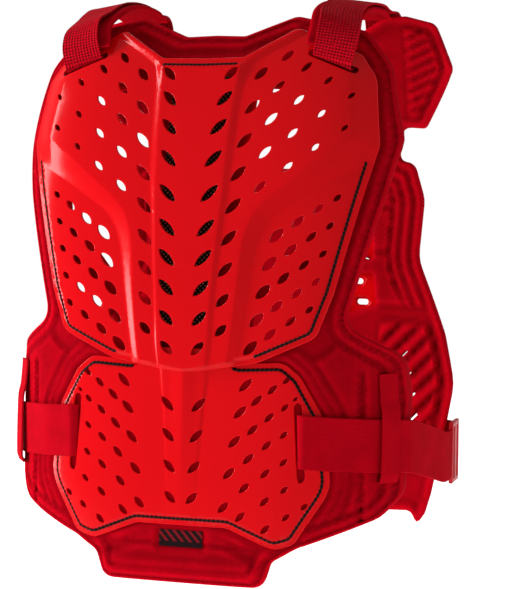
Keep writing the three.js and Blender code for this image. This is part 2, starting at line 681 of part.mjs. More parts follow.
function backLiner() {
  const outline = wholeOutline(backLinerOutline, backLinerHalfWidth, torsoHeight, 0);
  const windows = windowOutlines(backWindows, backLinerHalfWidth, torsoHeight, 0);
  const vent = wholeOutline(backVent, backLinerHalfWidth, torsoHeight, 0);
  return pierced(backWall(() => 0, () => backLinerOut), outline, [...windows, vent], 1);
}

function backPlate(outlineRows, halfWidth, height, top) {
  const spine = (x) => spineRise * smooth((0.2 * backLinerHalfWidth - Math.abs(x)) / 20);
  const shell = backWall((x) => backPlateOut + spine(x),
    (x) => backPlateOut + plateWall + spine(x));
  return shell.intersect(prism(wholeOutline(outlineRows, halfWidth, height, top), 1));
}

// Arch of the pads' undersides over the shoulder. y: share of frontReach or backReach;
// z: share of torsoHeight; tilt: how far the outer edge hangs below the inner, as a share
// of the webbing's width.
const shoulderArch = [
  { y: -0.42, z: -0.024, tilt: 0.25 },
  { y: -0.28, z: -0.0085, tilt: 0.18 },
  { y: -0.14, z: -0.002, tilt: 0.15 },
  { y: 0.00, z: 0.000, tilt: 0.13 },
  { y: 0.22, z: -0.002, tilt: 0.08 },
  { y: 0.42, z: -0.010, tilt: 0.03 },
];
const chestOuter = (x, z) => chestOut + plateWall + relief(x, z);

function tilted(tilt) {
  return new THREE.Vector3(1, 0, -tilt).normalize();
}

function shoulderPad(side) {
  const x = shoulderX - padShift;
  const slotTilt = (2 * shoulderSlotTilt) / webbingWidth;
  const seat = [5, 20].map((rise, k) => ({
    centre: onBody(-1, x, shoulderSlotZ + rise,
      chestOuter(x, shoulderSlotZ + rise) + clearance + 0.9 + k),
    across: tilted(slotTilt), width: padWidth, thickness: padWall * (0.5 + 0.5 * k),
  }));
  const arch = shoulderArch.map((row) => ({
    centre: new THREE.Vector3(x, row.y * (row.y < 0 ? frontReach : backReach),
      row.z * torsoHeight),
    across: tilted(row.tilt), width: padWidth, thickness: padWall,
  }));
  return strip([...seat, ...arch], side);
}

function shoulderWebbing(side) {
  const x = shoulderX;
  const slotTilt = (2 * shoulderSlotTilt) / webbingWidth;
  const station = (centre, tilt) => ({
    centre, across: tilted(tilt), width: webbingWidth, thickness: webbingWall,
  });
  const outer = chestOuter(x, shoulderSlotZ);
  const rise = webbingWall / 2 + 0.2;
  const throughSlot = (out, forward) => {
    const y = onBody(-1, x, shoulderSlotZ + rise, out).y;
    return new THREE.Vector3(x, y - forward, shoulderSlotZ + rise);
  };
  const inSlot = [
    throughSlot(0, 3.5), throughSlot(outer, -1), throughSlot(outer, 5),
    onBody(-1, x, shoulderSlotZ + 6, outer + padWall * 0.55 + 6.6),
    onBody(-1, x, shoulderSlotZ + 20, outer + padWall + 5.6),
  ].map((centre) => station(centre, slotTilt));
  const over = shoulderArch.map((row, i) => {
    const y = row.y * (row.y < 0 ? frontReach : backReach);
    const before = shoulderArch[Math.max(0, i - 1)];
    const after = shoulderArch[Math.min(shoulderArch.length - 1, i + 1)];
    const slope = ((after.z - before.z) * torsoHeight)
      / (after.y * (after.y < 0 ? frontReach : backReach)
        - before.y * (before.y < 0 ? frontReach : backReach));
    const lift = padWall + clearance + 0.5;
    const turn = Math.hypot(1, slope);
    return station(new THREE.Vector3(
      x, y - (slope * lift) / turn, row.z * torsoHeight + lift / turn - padShift * row.tilt,
    ), row.tilt);
  });
  const tail = [6, 22, 45, webbingTail].map((drop) => station(
    onBody(1, x, -drop, backLinerOut + clearance + 1.2), 0));
  return strip([...inSlot, ...over, ...tail], side);
}

// Route of the elastic straps round the waist, from the slot to the buckle. x is a share
// of torsoHalfWidth; out: distance out from the body; sag: share of waistSag.
function waistStations() {
  const at = (x, out, sag) => ({
    centre: onBody(-1, x, -waistDrop - sag * waistSag, out),
    across: new THREE.Vector3(0, 0, -1), width: elasticWidth, thickness: elasticWall,
  });
  const free = (x, y, sag) => ({
    centre: new THREE.Vector3(x, y, -waistDrop - sag * waistSag),
    across: new THREE.Vector3(0, 0, -1), width: elasticWidth, thickness: elasticWall,
  });
  const plateOuter = abdomenOut + plateWall;
  return [
    at(waistSlotX - 1, clearance, 0), at(waistSlotX - 0.5, plateOuter - 0.5, 0),
    at(waistSlotX + 2.5, plateOuter + 2, 0), at(waistSlotX + 12, plateOuter + 1, 0.03),
    at(abdomenHalfWidth + 3, plateOuter + 1, 0.07), at(abdomenHalfWidth + 16, 1.6, 0.1),
    at(keeperX - 12, 1.0, 0.14), at(keeperX, 1.0, 0.19), at(keeperX + 12, 1.0, 0.27),
    at(linerHalfWidth + 1, 1.2, 0.36),
    free(torsoHalfWidth + 1, -0.22 * frontReach, 0.7),
    free(torsoHalfWidth + 6, 0, 1),
    free(torsoHalfWidth + 6, buckleY - 0.5 * buckleLength - clearance, 1),
  ];
}

const buckleY = 0.36 * backReach;

// Vertical keeper sewn to the liner above and below the elastic that runs under it.
function keeper(side) {
  const middle = -waistDrop - 0.19 * waistSag;
  const bridge = elasticWall + 2.6;
  const stations = [
    [elasticWidth / 2 + keeperAbove, -5.1], [elasticWidth / 2 + 0.8 * keeperAbove, -5.1],
    [elasticWidth / 2 + 3.5, bridge], [-elasticWidth / 2 - 3.5, bridge],
    [-elasticWidth / 2 - 0.7 * keeperBelow, -4.8], [-elasticWidth / 2 - keeperBelow, -4.8],
  ];
  return strip(stations.map(([rise, out]) => ({
    centre: onBody(-1, keeperX, middle + rise, out + 0.5),
    across: onBody(-1, keeperX - 1, middle + rise, out)
      .sub(onBody(-1, keeperX + 1, middle + rise, out)),
    width: keeperWidth, thickness: keeperWall,
  })), side);
}

// Ladder buckle: a frame with two slots, upright at the side of the vest.
function buckle(side) {
  const half = { y: buckleLength / 2, z: buckleWidth / 2 };
  const bevel = 4;
  const frame = [[-1, -1, 0, 1], [-1, -1, 1, 0], [1, -1, -1, 0], [1, -1, 0, 1],
    [1, 1, 0, -1], [1, 1, -1, 0], [-1, 1, 1, 0], [-1, 1, 0, -1]]
    .map(([y, z, inY, inZ]) => new THREE.Vector2(
      y * half.y + inY * bevel, z * half.z + inZ * bevel));
  const slots = [-0.5, 0.5].map((share) => {
    const [y0, y1] = [share * half.y - 3.6, share * half.y + 3.6];
    const z = elasticWidth / 2 + 1;
    return [[y0, -z], [y1, -z], [y1, z], [y0, z]].map(([y, h]) => new THREE.Vector2(y, h));
  });
  const upright = (outline, wall0, wall1) => {
    const geometry = new THREE.ExtrudeGeometry(new THREE.Shape(outline), {
      depth: wall1 - wall0, bevelEnabled: false,
    });
    geometry.rotateX(Math.PI / 2);
    geometry.rotateZ(Math.PI / 2);
    geometry.translate(
      side * (torsoHalfWidth + 5) + wall0, buckleY, -waistDrop - waistSag);
    return toSolid(geometry);
  };
  const inward = side > 0 ? 0 : -buckleWall;
  let solid = upright(frame, inward, inward + buckleWall);
  slots.forEach((slot) => {
    solid = solid.subtract(upright(slot, inward - 1, inward + buckleWall + 1));
  });
  return solid;
}

// Short strap from the buckle to the back plate, where it is sewn to the liner.
function backAnchor(side) {
  const at = (centre) => ({
    centre, across: new THREE.Vector3(0, 0, -1), width: elasticWidth, thickness: elasticWall,
  });
  const z = -waistDrop - waistSag;
  const out = backPlateOut + clearance;
  const stations = [
    at(new THREE.Vector3(torsoHalfWidth + 6, buckleY + 0.5 * buckleLength + clearance, z)),
    at(new THREE.Vector3(torsoHalfWidth + 2, 0.5 * (buckleY + backReach), z)),
    at(onBody(1, backLinerHalfWidth - 4, z, out + 1.4)),
    at(onBody(1, backLinerHalfWidth - 20, z, out + 0.8)),
    at(onBody(1, lowerBackHalfWidth + 4, z, out + 0.6)),
  ];
  return strip(stations, side);
}

const group = new THREE.Group();

function add(name, solid, look) {
  const mesh = new THREE.Mesh(toGeometry(solid), new THREE.MeshStandardMaterial(look));
  mesh.name = name;
  group.add(mesh);
}

add('chest_plate', chestPlate(), redShell);
add('abdomen_plate', abdomenPlate(), redShell);
add('front_liner', frontLiner(), redPadding);
add('front_mesh', frontMesh(), darkMesh);
add('front_label', frontLabel(), blackLabel);
add('back_liner', backLiner(), redPadding);
add('back_plate_upper', backPlate(
  upperBackOutline, backPlateHalfWidth, backPlateHeight, upperBackTop), redShell);
add('back_plate_lower', backPlate(
  lowerBackOutline, lowerBackHalfWidth, lowerBackHeight, lowerBackTop), redShell);
[['left', 1], ['right', -1]].forEach(([name, side]) => {
  add(`shoulder_pad_${name}`, shoulderPad(side), redPadding);
  add(`shoulder_webbing_${name}`, shoulderWebbing(side), redWebbing);
  add(`side_strap_${name}`, strip(waistStations(), side), redWebbing);
  add(`strap_keeper_${name}`, keeper(side), redWebbing);
  add(`side_buckle_${name}`, buckle(side), redBuckle);
  add(`back_anchor_${name}`, backAnchor(side), redWebbing);
});

export default group;
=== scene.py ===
"""Roost deflector: glossy pierced plates over padded cloth, webbing and elastic straps.

The frame is in metres. The body's tables and sizes below are in millimetres, as the
solids were drawn, and MM brings them into the frame.
"""

import math
from functools import partial

import bmesh
import bpy
import numpy as np
from mathutils import Matrix, Vector
from mathutils.geometry import delaunay_2d_cdt


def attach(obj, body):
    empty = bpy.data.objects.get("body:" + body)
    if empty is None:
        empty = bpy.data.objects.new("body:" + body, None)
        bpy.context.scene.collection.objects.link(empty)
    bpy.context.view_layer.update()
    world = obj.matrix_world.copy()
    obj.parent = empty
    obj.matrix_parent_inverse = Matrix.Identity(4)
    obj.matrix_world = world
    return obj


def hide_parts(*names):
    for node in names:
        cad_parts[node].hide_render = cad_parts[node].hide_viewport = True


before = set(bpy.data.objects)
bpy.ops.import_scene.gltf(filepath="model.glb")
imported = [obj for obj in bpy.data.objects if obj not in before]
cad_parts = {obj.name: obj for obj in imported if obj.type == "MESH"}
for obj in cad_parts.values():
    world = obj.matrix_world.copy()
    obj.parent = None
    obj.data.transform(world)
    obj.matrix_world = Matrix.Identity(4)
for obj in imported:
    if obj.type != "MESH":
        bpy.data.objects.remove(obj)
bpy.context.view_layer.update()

MM = 0.001
FRONT, BACK = -1, 1

# Driving sizes, in millimetres
TORSO_HEIGHT, TORSO_HALF, BACK_HALF = 522, 200, 216
FRONT_REACH, BACK_REACH = 168, 108
STRAIGHT_FROM = 0.955
CHEST_HALF, CHEST_HEIGHT, CHEST_TOP = 166, 307, -22
ABDOMEN_HALF, ABDOMEN_HEIGHT = 134, 176
ABDOMEN_TOP = CHEST_TOP - CHEST_HEIGHT + 19
PLATE_WALL, BAND_RISE, CREASE_RISE, EDGE_FADE, CHEST_LIFT = 3, 6, 2, 22, 3.6
LINER_WALL, LINER_HALF, LINER_OUT = 10, 190, -0.3
VENT_HALF, VENT_TOP, VENT_BOTTOM = 25, -0.135 * TORSO_HEIGHT, -0.575 * TORSO_HEIGHT
FLAP_TOP, FLAP_PUFF, FLAP_HALF = ABDOMEN_TOP - ABDOMEN_HEIGHT - 9, 6, 0.47 * LINER_HALF
BACK_LINER_HALF, BACK_LINER_OUT = 198, 10
BACK_PLATE_HALF, BACK_PLATE_HEIGHT = 132, 190
LOWER_BACK_HALF, LOWER_BACK_HEIGHT = 150, 150
UPPER_BACK_TOP = -0.296 * TORSO_HEIGHT
LOWER_BACK_TOP = UPPER_BACK_TOP - BACK_PLATE_HEIGHT - 4
SPINE_RISE = 5
WEBBING_WIDTH, WEBBING_WALL, SHOULDER_X = 38, 2, 120
PAD_WIDTH, PAD_WALL, PAD_SHIFT, WEBBING_TAIL = 46, 7, 4.5, 70
SLOT_WIDTH, SLOT_Z, SLOT_TILT = 6.4, CHEST_TOP - 0.101 * CHEST_HEIGHT, 8
ELASTIC_WIDTH, ELASTIC_WALL, WAIST_DROP, WAIST_SAG = 48, 1.8, 390, 32
WAIST_SLOT_X, WAIST_SLOT_HEIGHT = 107, 62
KEEPER_WIDTH, KEEPER_WALL, KEEPER_X, KEEPER_ABOVE, KEEPER_BELOW = 21.5, 1.6, 174, 41, 9
KEEPER_SAG = 0.19       # share of the sag that the elastic has at the keeper
BUCKLE_WIDTH, BUCKLE_LENGTH, BUCKLE_WALL, BUCKLE_Y = 60, 30, 4, 0.36 * BACK_REACH
BUCKLE_Z, BUCKLE_OPENING = -WAIST_DROP - WAIST_SAG, 7.2
CLEARANCE = 0.3

# Body sections: down, front, back, width, wrap, power
SECTIONS = [
    (-0.03, 0.24, 0.52, 0.88, 0.52, 4), (0.042, 0.427, 0.78, 0.9, 0.55, 4),
    (0.121, 0.602, 0.92, 0.92, 0.56, 4), (0.21, 0.72, 0.98, 0.935, 0.56, 4),
    (0.328, 0.816, 1, 0.95, 0.58, 3.9), (0.49, 0.903, 0.98, 0.96, 0.72, 3.6),
    (0.69, 0.951, 0.93, 0.995, 0.91, 3.3), (0.85, 0.988, 0.92, 1, 0.93, 3.2),
    (1.06, 1.015, 0.93, 0.99, 0.91, 3.2),
]
# Ridge lines: down, crease in, crease out, band in, band out, fade
RIDGES = [
    (-0.02, 0.7, 0.76, 1.18, 1.3, 1), (0.042, 0.512, 0.584, 1.14, 1.24, 1),
    (0.094, 0.241, 0.331, 1.1, 1.2, 1), (0.109, 0.226, 0.274, 1.09, 1.193, 1),
    (0.166, 0.21, 0.25, 1.042, 1.163, 1), (0.226, 0.202, 0.241, 0.898, 1.12, 1),
    (0.2715, 0.196, 0.235, 0.699, 0.97, 0.98), (0.3067, 0.194, 0.227, 0.554, 0.765, 0.95),
    (0.3374, 0.191, 0.216, 0.434, 0.602, 0.9), (0.3627, 0.185, 0.207, 0.367, 0.485, 0.85),
    (0.395, 0.178, 0.198, 0.328, 0.418, 0.8), (0.43, 0.171, 0.19, 0.31, 0.386, 0.75),
    (0.502, 0.156, 0.171, 0.292, 0.349, 0.68), (0.586, 0.145, 0.154, 0.265, 0.307, 0.6),
    (0.634, 0.127, 0.136, 0.234, 0.289, 0.52), (0.7355, 0.096, 0.105, 0.19, 0.2235, 0.34),
    (0.858, 0.075, 0.084, 0.148, 0.159, 0.06), (1.035, 0.066, 0.072, 0.127, 0.139, 0),
]
# Half outlines from the top centre round to the bottom centre: across, down, round
CHEST_OUTLINE = [
    (0, 0.091, 0), (0.236, 0.088, 5), (0.506, 0, 9), (0.86, 0.08, 14), (0.952, 0.15, 26),
    (0.998, 0.345, 22), (0.805, 0.77, 40), (0.72, 0.897, 16), (0.41, 0.972, 40), (0.1, 1, 30),
]
ABDOMEN_OUTLINE = [
    (0.29, 0, 0), (0.36, 0.072, 8), (0.68, 0.06, 16), (0.79, 0.13, 18), (0.93, 0.32, 24),
    (1, 0.69, 36), (0.77, 0.97, 14), (0.64, 1, 16), (0.32, 0.9, 14),
]
LINER_OUTLINE = [
    (0, 0.05, 0), (0.15, 0.052, 12), (0.39, 0.016, 12), (0.74, 0.044, 20), (0.88, 0.106, 34),
    (0.955, 0.235, 40), (0.9, 0.335, 30), (0.745, 0.55, 20), (0.98, 0.606, 28), (1, 0.68, 40),
    (0.985, 0.85, 20), (0.9, 0.884, 22), (0.56, 0.93, 30), (0.44, 0.955, 12), (0.4, 1, 14),
]
BACK_LINER_OUTLINE = [
    (0, 0.05, 0), (0.33, 0.046, 20), (0.5, 0.028, 16), (0.64, 0, 14), (0.75, 0, 14),
    (0.903, 0.0155, 10), (0.985, 0.098, 10), (0.82, 0.21, 6), (0.695, 0.207, 10),
    (0.68, 0.27, 8), (0.76, 0.276, 14), (0.815, 0.345, 30), (0.79, 0.46, 40), (0.955, 0.6, 40),
    (1.02, 0.69, 40), (0.98, 0.76, 20), (0.89, 0.908, 20), (0.857, 0.947, 6),
    (0.811, 0.972, 5), (0.775, 0.946, 8), (0.56, 0.952, 30),
]
UPPER_BACK_OUTLINE = [
    (0, 0.02, 0), (0.3, 0.018, 10), (0.56, -0.03, 14), (0.86, 0.06, 18), (0.96, 0.42, 40),
    (0.88, 0.87, 30), (0.56, 1, 24),
]
LOWER_BACK_OUTLINE = [
    (0.48, 0, 0), (0.86, 0.1, 20), (1, 0.42, 24), (0.94, 0.82, 24), (0.5, 1, 24),
]
# Openings through the liners, one side each
LINER_WINDOWS = [
    [(0.262, 0.145, 6), (0.61, 0.15, 8), (0.615, 0.305, 10), (0.46, 0.358, 10),
     (0.235, 0.374, 6)],
    [(0.205, 0.392, 5), (0.272, 0.388, 5), (0.25, 0.545, 5), (0.19, 0.545, 5)],
    [(0.66, 0.328, 6), (0.645, 0.366, 6), (0.41, 0.464, 6), (0.35, 0.462, 6),
     (0.372, 0.402, 12)],
    [(0.64, 0.464, 6), (0.615, 0.5, 6), (0.4, 0.582, 6), (0.31, 0.575, 6), (0.32, 0.528, 6)],
]
BACK_WINDOWS = [
    [(0.3, 0.35, 6), (0.54, 0.372, 6), (0.552, 0.468, 6), (0.3, 0.446, 6)],
    [(0.31, 0.49, 6), (0.556, 0.488, 6), (0.575, 0.552, 6), (0.31, 0.585, 6)],
]
# Opening between the shoulder blades: half outline
BACK_VENT = [(0.31, 0.083, 10), (0.33, 0.2, 20), (0.26, 0.29, 12)]
# Columns of leaf-shaped holes, one side: count, first and last across, bow, first and last
# down, ease, first and last length, swell, width
CHEST_HOLES = [
    (5, 0.178, 0.120, -0.008, 0.134, 0.486, -0.018, 16, 21, 1, 7.6),
    (5, 0.110, 0.089, 0, 0.586, 0.935, 0, 21, 16, 1, 7.8),
    (9, 0.342, 0.216, -0.025, 0.135, 0.881, 0.014, 15, 14, 4.5, 7.6),
    (5, 0.475, 0.398, -0.008, 0.083, 0.466, -0.005, 13, 14, 1.5, 6.4),
    (4, 0.589, 0.542, -0.004, 0.117, 0.408, 0, 12, 12, 0, 5.6),
    (3, 0.717, 0.683, 0, 0.157, 0.351, 0, 9.5, 9, 0, 5),
    (2, 0.846, 0.829, 0, 0.201, 0.295, 0, 7.5, 8, 0, 4.6),
    (5, 0.807, 0.687, 0, 0.496, 0.816, 0, 8.5, 9, 0, 5.4),
    (5, 0.713, 0.589, 0, 0.527, 0.850, 0, 12, 12, 0, 6),
    (5, 0.607, 0.483, 0, 0.565, 0.889, 0, 14, 14, 0, 7),
    (5, 0.496, 0.375, 0, 0.605, 0.930, 0, 17, 17, 0, 8.4),
]
ABDOMEN_HOLES = [
    (4, 0.110, 0.076, 0, 0.285, 0.761, 0, 17, 14, 0, 6.8),
    (5, 0.432, 0.298, 0, 0.175, 0.798, -0.024, 16, 13, 0, 6.6),
    (5, 0.510, 0.416, 0, 0.251, 0.841, 0, 13.5, 12, 0, 6),
    (6, 0.614, 0.587, -0.02, 0.193, 0.898, 0, 11.5, 11, 0, 5.6),
    (6, 0.707, 0.722, -0.018, 0.144, 0.833, 0, 9, 9, 0, 5),
    (1, 0.766, 0.766, 0, 0.238, 0.238, 0, 6, 6, 0, 3.6),
    (2, 0.816, 0.838, 0, 0.644, 0.778, 0, 7.5, 8, 0, 4.8),
]
# Shoulder arch: y as a share of the reaches, z as a share of the height, tilt
SHOULDER_ARCH = [
    (-0.42, -0.024, 0.25), (-0.28, -0.0085, 0.18), (-0.14, -0.002, 0.15),
    (0.0, 0.0, 0.13), (0.22, -0.002, 0.08), (0.42, -0.010, 0.03),
]


def clamp01(t):
    return np.clip(t, 0.0, 1.0)


def smooth(t):
    t = clamp01(t)
    return t * t * (3 - 2 * t)


def bump(distance, centre, half):
    """A round ridge: 1 at its centre line and 0 at half either side."""
    return np.cos(np.clip((distance - centre) / half, -1, 1) * math.pi / 2) ** 0.8


def curve_at(rows, column, down):
    """A table's column on a smooth curve through its rows."""
    x = np.array([row[0] for row in rows])
    y = np.array([row[column] for row in rows])
    slope = np.empty(len(x))
    slope[1:-1] = (y[2:] - y[:-2]) / (x[2:] - x[:-2])
    slope[0] = (y[1] - y[0]) / (x[1] - x[0])
    slope[-1] = (y[-1] - y[-2]) / (x[-1] - x[-2])
    down = np.asarray(down, float)
    i = np.clip(np.searchsorted(x, down, side="left") - 1, 0, len(x) - 2)
    span = x[i + 1] - x[i]
    t = clamp01((down - x[i]) / span)
    t2, t3 = t * t, t * t * t
    return ((2 * t3 - 3 * t2 + 1) * y[i] + (t3 - 2 * t2 + t) * span * slope[i]
            + (3 * t2 - 2 * t3) * y[i + 1] + (t3 - t2) * span * slope[i + 1])


def line_at(rows, column, down):
    """A table's column, straight between its rows."""
    return np.interp(down, [row[0] for row in rows], [row[column] for row in rows])


def body_depth(face, x, z):
    down = -z / TORSO_HEIGHT
    front, back, width, wrap, power = (curve_at(SECTIONS, k, down) for k in range(1, 6))
    reach = FRONT_REACH * front if face < 0 else BACK_REACH * back
    half = (TORSO_HALF if face < 0 else BACK_HALF) * width
    across = np.abs(x) / half
    near = np.minimum(STRAIGHT_FROM, across)
    slope = near ** (power - 1) * (1 - near ** power) ** (1 / power - 1)
    turned = 1 - (1 - near ** power) ** (1 / power) + slope * (across - near)
    return face * (reach - TORSO_HALF * wrap * (1 if face < 0 else 0.6) * turned)


def on_body(face, x, z, out):
    """Points at a distance out from the body's surface, in millimetres."""
    x, z = np.asarray(x, float), np.asarray(z, float)
    h = 0.5
    y = body_depth(face, x, z)
    yx = (body_depth(face, x + h, z) - body_depth(face, x - h, z)) / (2 * h)
    yz = (body_depth(face, x, z + h) - body_depth(face, x, z - h)) / (2 * h)
    normal = np.stack([-yx, np.ones_like(yx), -yz], -1) * face
    normal /= np.linalg.norm(normal, axis=-1, keepdims=True)
    return np.stack([x, y, z], -1) + normal * np.asarray(out)[..., None]


def over_body(face, x, z, out):
    """Points whose distance out from the body is met straight along Y, as the cuts are."""
    x, z = np.asarray(x, float), np.asarray(z, float)
    h = 0.5
    yx = (body_depth(face, x + h, z) - body_depth(face, x - h, z)) / (2 * h)
    yz = (body_depth(face, x, z + h) - body_depth(face, x, z - h)) / (2 * h)
    y = body_depth(face, x, z) + face * np.asarray(out) * np.sqrt(1 + yx ** 2 + yz ** 2)
    return np.stack([x, y, z], -1)


# Flat patterns


def round_corners(corners, step=math.pi / 16):
    """Corner points (x, z, radius) with each corner rounded."""
    points = []
    for i, (x, z, radius) in enumerate(corners):
        here = np.array([x, z])
        back = np.array(corners[i - 1][:2]) - here
        ahead = np.array(corners[(i + 1) % len(corners)][:2]) - here
        b, a = np.linalg.norm(back), np.linalg.norm(ahead)
        turn = math.pi - math.acos(np.clip(back @ ahead / (a * b), -1, 1))
        if radius == 0 or turn < 0.02:
            points.append(here)
            continue
        reach = min(radius * math.tan(turn / 2), 0.48 * min(a, b))
        start, end = here + back / b * reach, here + ahead / a * reach
        steps = max(2, round(turn / step))
        for k in range(steps + 1):
            t = k / steps
            points.append((1 - t) ** 2 * start + 2 * t * (1 - t) * here + t * t * end)
    return np.array(points)


def whole(rows, half, height, top):
    """Whole outline from its half table."""
    left = [(a * half, top - d * height, r) for a, d, r in rows]
    right = [(-a * half, top - d * height, r) for a, d, r in rows if a > 0]
    return round_corners(left + right[::-1])


def windows(tables, half, height, top):
    return [round_corners([(side * a * half, top - d * height, r) for a, d, r in rows])
            for rows in tables for side in (1, -1)]


def leaf_holes(table, half, height, top, sides=20):
    """Outlines of the leaf-shaped ventilation holes, both sides."""
    outlines = []
    turn = np.arange(sides) * 2 * math.pi / sides
    for count, a0, a1, bow, d0, d1, ease, long0, long1, swell, wide in table:
        for k in range(count):
            s = k / max(1, count - 1)
            middle = 4 * s * (1 - s)
            long = 1.08 * (long0 + (long1 - long0) * s + swell * middle)
            across = a0 + (a1 - a0) * s + bow * middle
            down = d0 + (d1 - d0) * s + ease * middle
            along = 0.5 * long * np.sin(turn)
            wide_at = 0.54 * wide * np.cos(turn) * np.abs(np.cos(turn)) ** 0.4
            for side in (1, -1):
                lean = side * math.pi / 4
                outlines.append(np.stack([
                    side * across * half + along * math.sin(lean) + wide_at * math.cos(lean),
                    top - down * height + along * math.cos(lean) - wide_at * math.sin(lean),
                ], -1))
    return outlines


def slot_outline(start, end, width, sides=8):
    """A slot with round ends between two points."""
    start, end = np.array(start, float), np.array(end, float)
    heading = math.atan2(end[1] - start[1], end[0] - start[0])
    turns = [heading + math.pi / 2 + math.pi * k / sides for k in range(sides + 1)]
    ring = [(start, t) for t in turns] + [(end, t + math.pi) for t in turns]
    return np.array([p + width / 2 * np.array([math.cos(t), math.sin(t)]) for p, t in ring])


def resample(loop, spacing, closed=True):
    """Points along a polyline no further apart than spacing, its corners kept."""
    points = []
    for i in range(len(loop) if closed else len(loop) - 1):
        a, b = loop[i], loop[(i + 1) % len(loop)]
        steps = max(1, math.ceil(np.linalg.norm(b - a) / spacing))
        points += [a + (b - a) * k / steps for k in range(steps)]
    if not closed:
        points.append(loop[-1])
    return np.array(points)


def inward(loop, distance):
    """A closed outline moved in by a distance."""
    ahead = np.roll(loop, -1, 0) - np.roll(loop, 1, 0)
    ahead /= np.maximum(1e-9, np.linalg.norm(ahead, axis=1, keepdims=True))
    side = np.stack([-ahead[:, 1], ahead[:, 0]], -1)
    area = np.sum(loop[:, 0] * np.roll(loop[:, 1], -1) - np.roll(loop[:, 0], -1) * loop[:, 1])
    return loop + side * (distance if area > 0 else -distance)


def edge_distance(points, loop):
    """Distance from each point to a closed outline."""
    span = np.roll(loop, -1, 0) - loop
    t = np.einsum("nmk,mk->nm", points[:, None] - loop[None], span) / np.maximum(
        1e-9, (span ** 2).sum(1))
    nearest = loop[None] + clamp01(t)[..., None] * span[None]
    return np.linalg.norm(points[:, None] - nearest, axis=2).min(1)


def inside(points, loop):
    """Which points lie in a closed outline."""
    a, b = loop, np.roll(loop, -1, 0)
    x, z = points[:, :1], points[:, 1:]
    crosses = (a[None, :, 1] > z) != (b[None, :, 1] > z)
    rise = np.where(np.abs(b[:, 1] - a[:, 1]) < 1e-9, 1e-9, b[:, 1] - a[:, 1])
    at = a[:, 0] + (z - a[:, 1]) * (b[:, 0] - a[:, 0]) / rise
    return (crosses & (x < at)).sum(1) % 2 == 1


class EdgeField:
    """Distance inward from an outline, read off a grid; negative outside it."""

    def __init__(self, loop, pitch=1.5, margin=60.0):
        self.low, self.pitch = loop.min(0) - margin, pitch
        nx, nz = np.ceil((np.ptp(loop, 0) + 2 * margin) / pitch).astype(int) + 2
        self.grid = np.empty((nx, nz))
        x = self.low[0] + pitch * np.arange(nx)
        z = self.low[1] + pitch * np.arange(nz)
        for k in range(nx):
            points = np.stack([np.full(nz, x[k]), z], -1)
            away = edge_distance(points, loop)
            self.grid[k] = np.where(inside(points, loop), away, -away)

    def __call__(self, x, z):
        at = (np.stack([x, z], -1) - self.low) / self.pitch
        at = np.clip(at, 0, np.array(self.grid.shape) - 1.001)
        cell = at.astype(int)
        (i, j), (u, v) = cell.T, (at - cell).T
        g = self.grid
        return ((1 - u) * (1 - v) * g[i, j] + u * (1 - v) * g[i + 1, j]
                + (1 - u) * v * g[i, j + 1] + u * v * g[i + 1, j + 1])


def cut_pattern(outline, holes, lines, spacing):
    """Triangles of a flat pattern with holes, with edges along the given lines."""
    loops = [resample(outline, spacing)] + [resample(h, spacing) for h in holes]
    points, edges = [], []
    for loop in loops:
        n = len(points)
        points += list(loop)
        edges += [(n + i, n + (i + 1) % len(loop)) for i in range(len(loop))]
    for line in lines:
        path = resample(line, spacing, closed=False)
        keep = inside(path, outline)
        for i in range(len(path) - 1):
            if keep[i] and keep[i + 1]:
                edges.append((len(points), len(points) + 1))
                points += [path[i], path[i + 1]]
    lo, hi = outline.min(0), outline.max(0)
    rows = np.arange(lo[1], hi[1], spacing * 0.866)
    grid = np.array([
        (x + (r % 2) * spacing / 2, z) for r, z in enumerate(rows)
        for x in np.arange(lo[0], hi[0], spacing)])
    grid = grid[inside(grid, outline)]
    near = np.array(points)
    gap = np.concatenate([
        np.sqrt(((part[:, None] - near[None]) ** 2).sum(2)).min(1)
        for part in np.array_split(grid, 1 + len(grid) // 400)])
    points += list(grid[gap > 0.5 * spacing])
    flat, _, faces, *_ = delaunay_2d_cdt(
        [Vector(p) for p in points], edges, [], 0, 1e-4, False)
    flat = np.array([(p[0], p[1]) for p in flat])
    faces = np.array(faces)
    middle = flat[faces].mean(1)
    keep = inside(middle, outline)
    for hole in holes:
        close = (np.abs(middle - hole.mean(0)) < np.ptp(hole, 0) + 1).all(1)
        keep[close] &= ~inside(middle[close], hole)
    return flat, faces[keep]


def open_edges(faces, count):
    """The directed edges of a flat pattern that one triangle alone uses."""
    sides = np.concatenate([faces[:, [0, 1]], faces[:, [1, 2]], faces[:, [2, 0]]])
    key = sides[:, 0].astype(np.int64) * count + sides[:, 1]
    twin = sides[:, 1].astype(np.int64) * count + sides[:, 0]
    return sides[~np.isin(key, twin)].tolist()


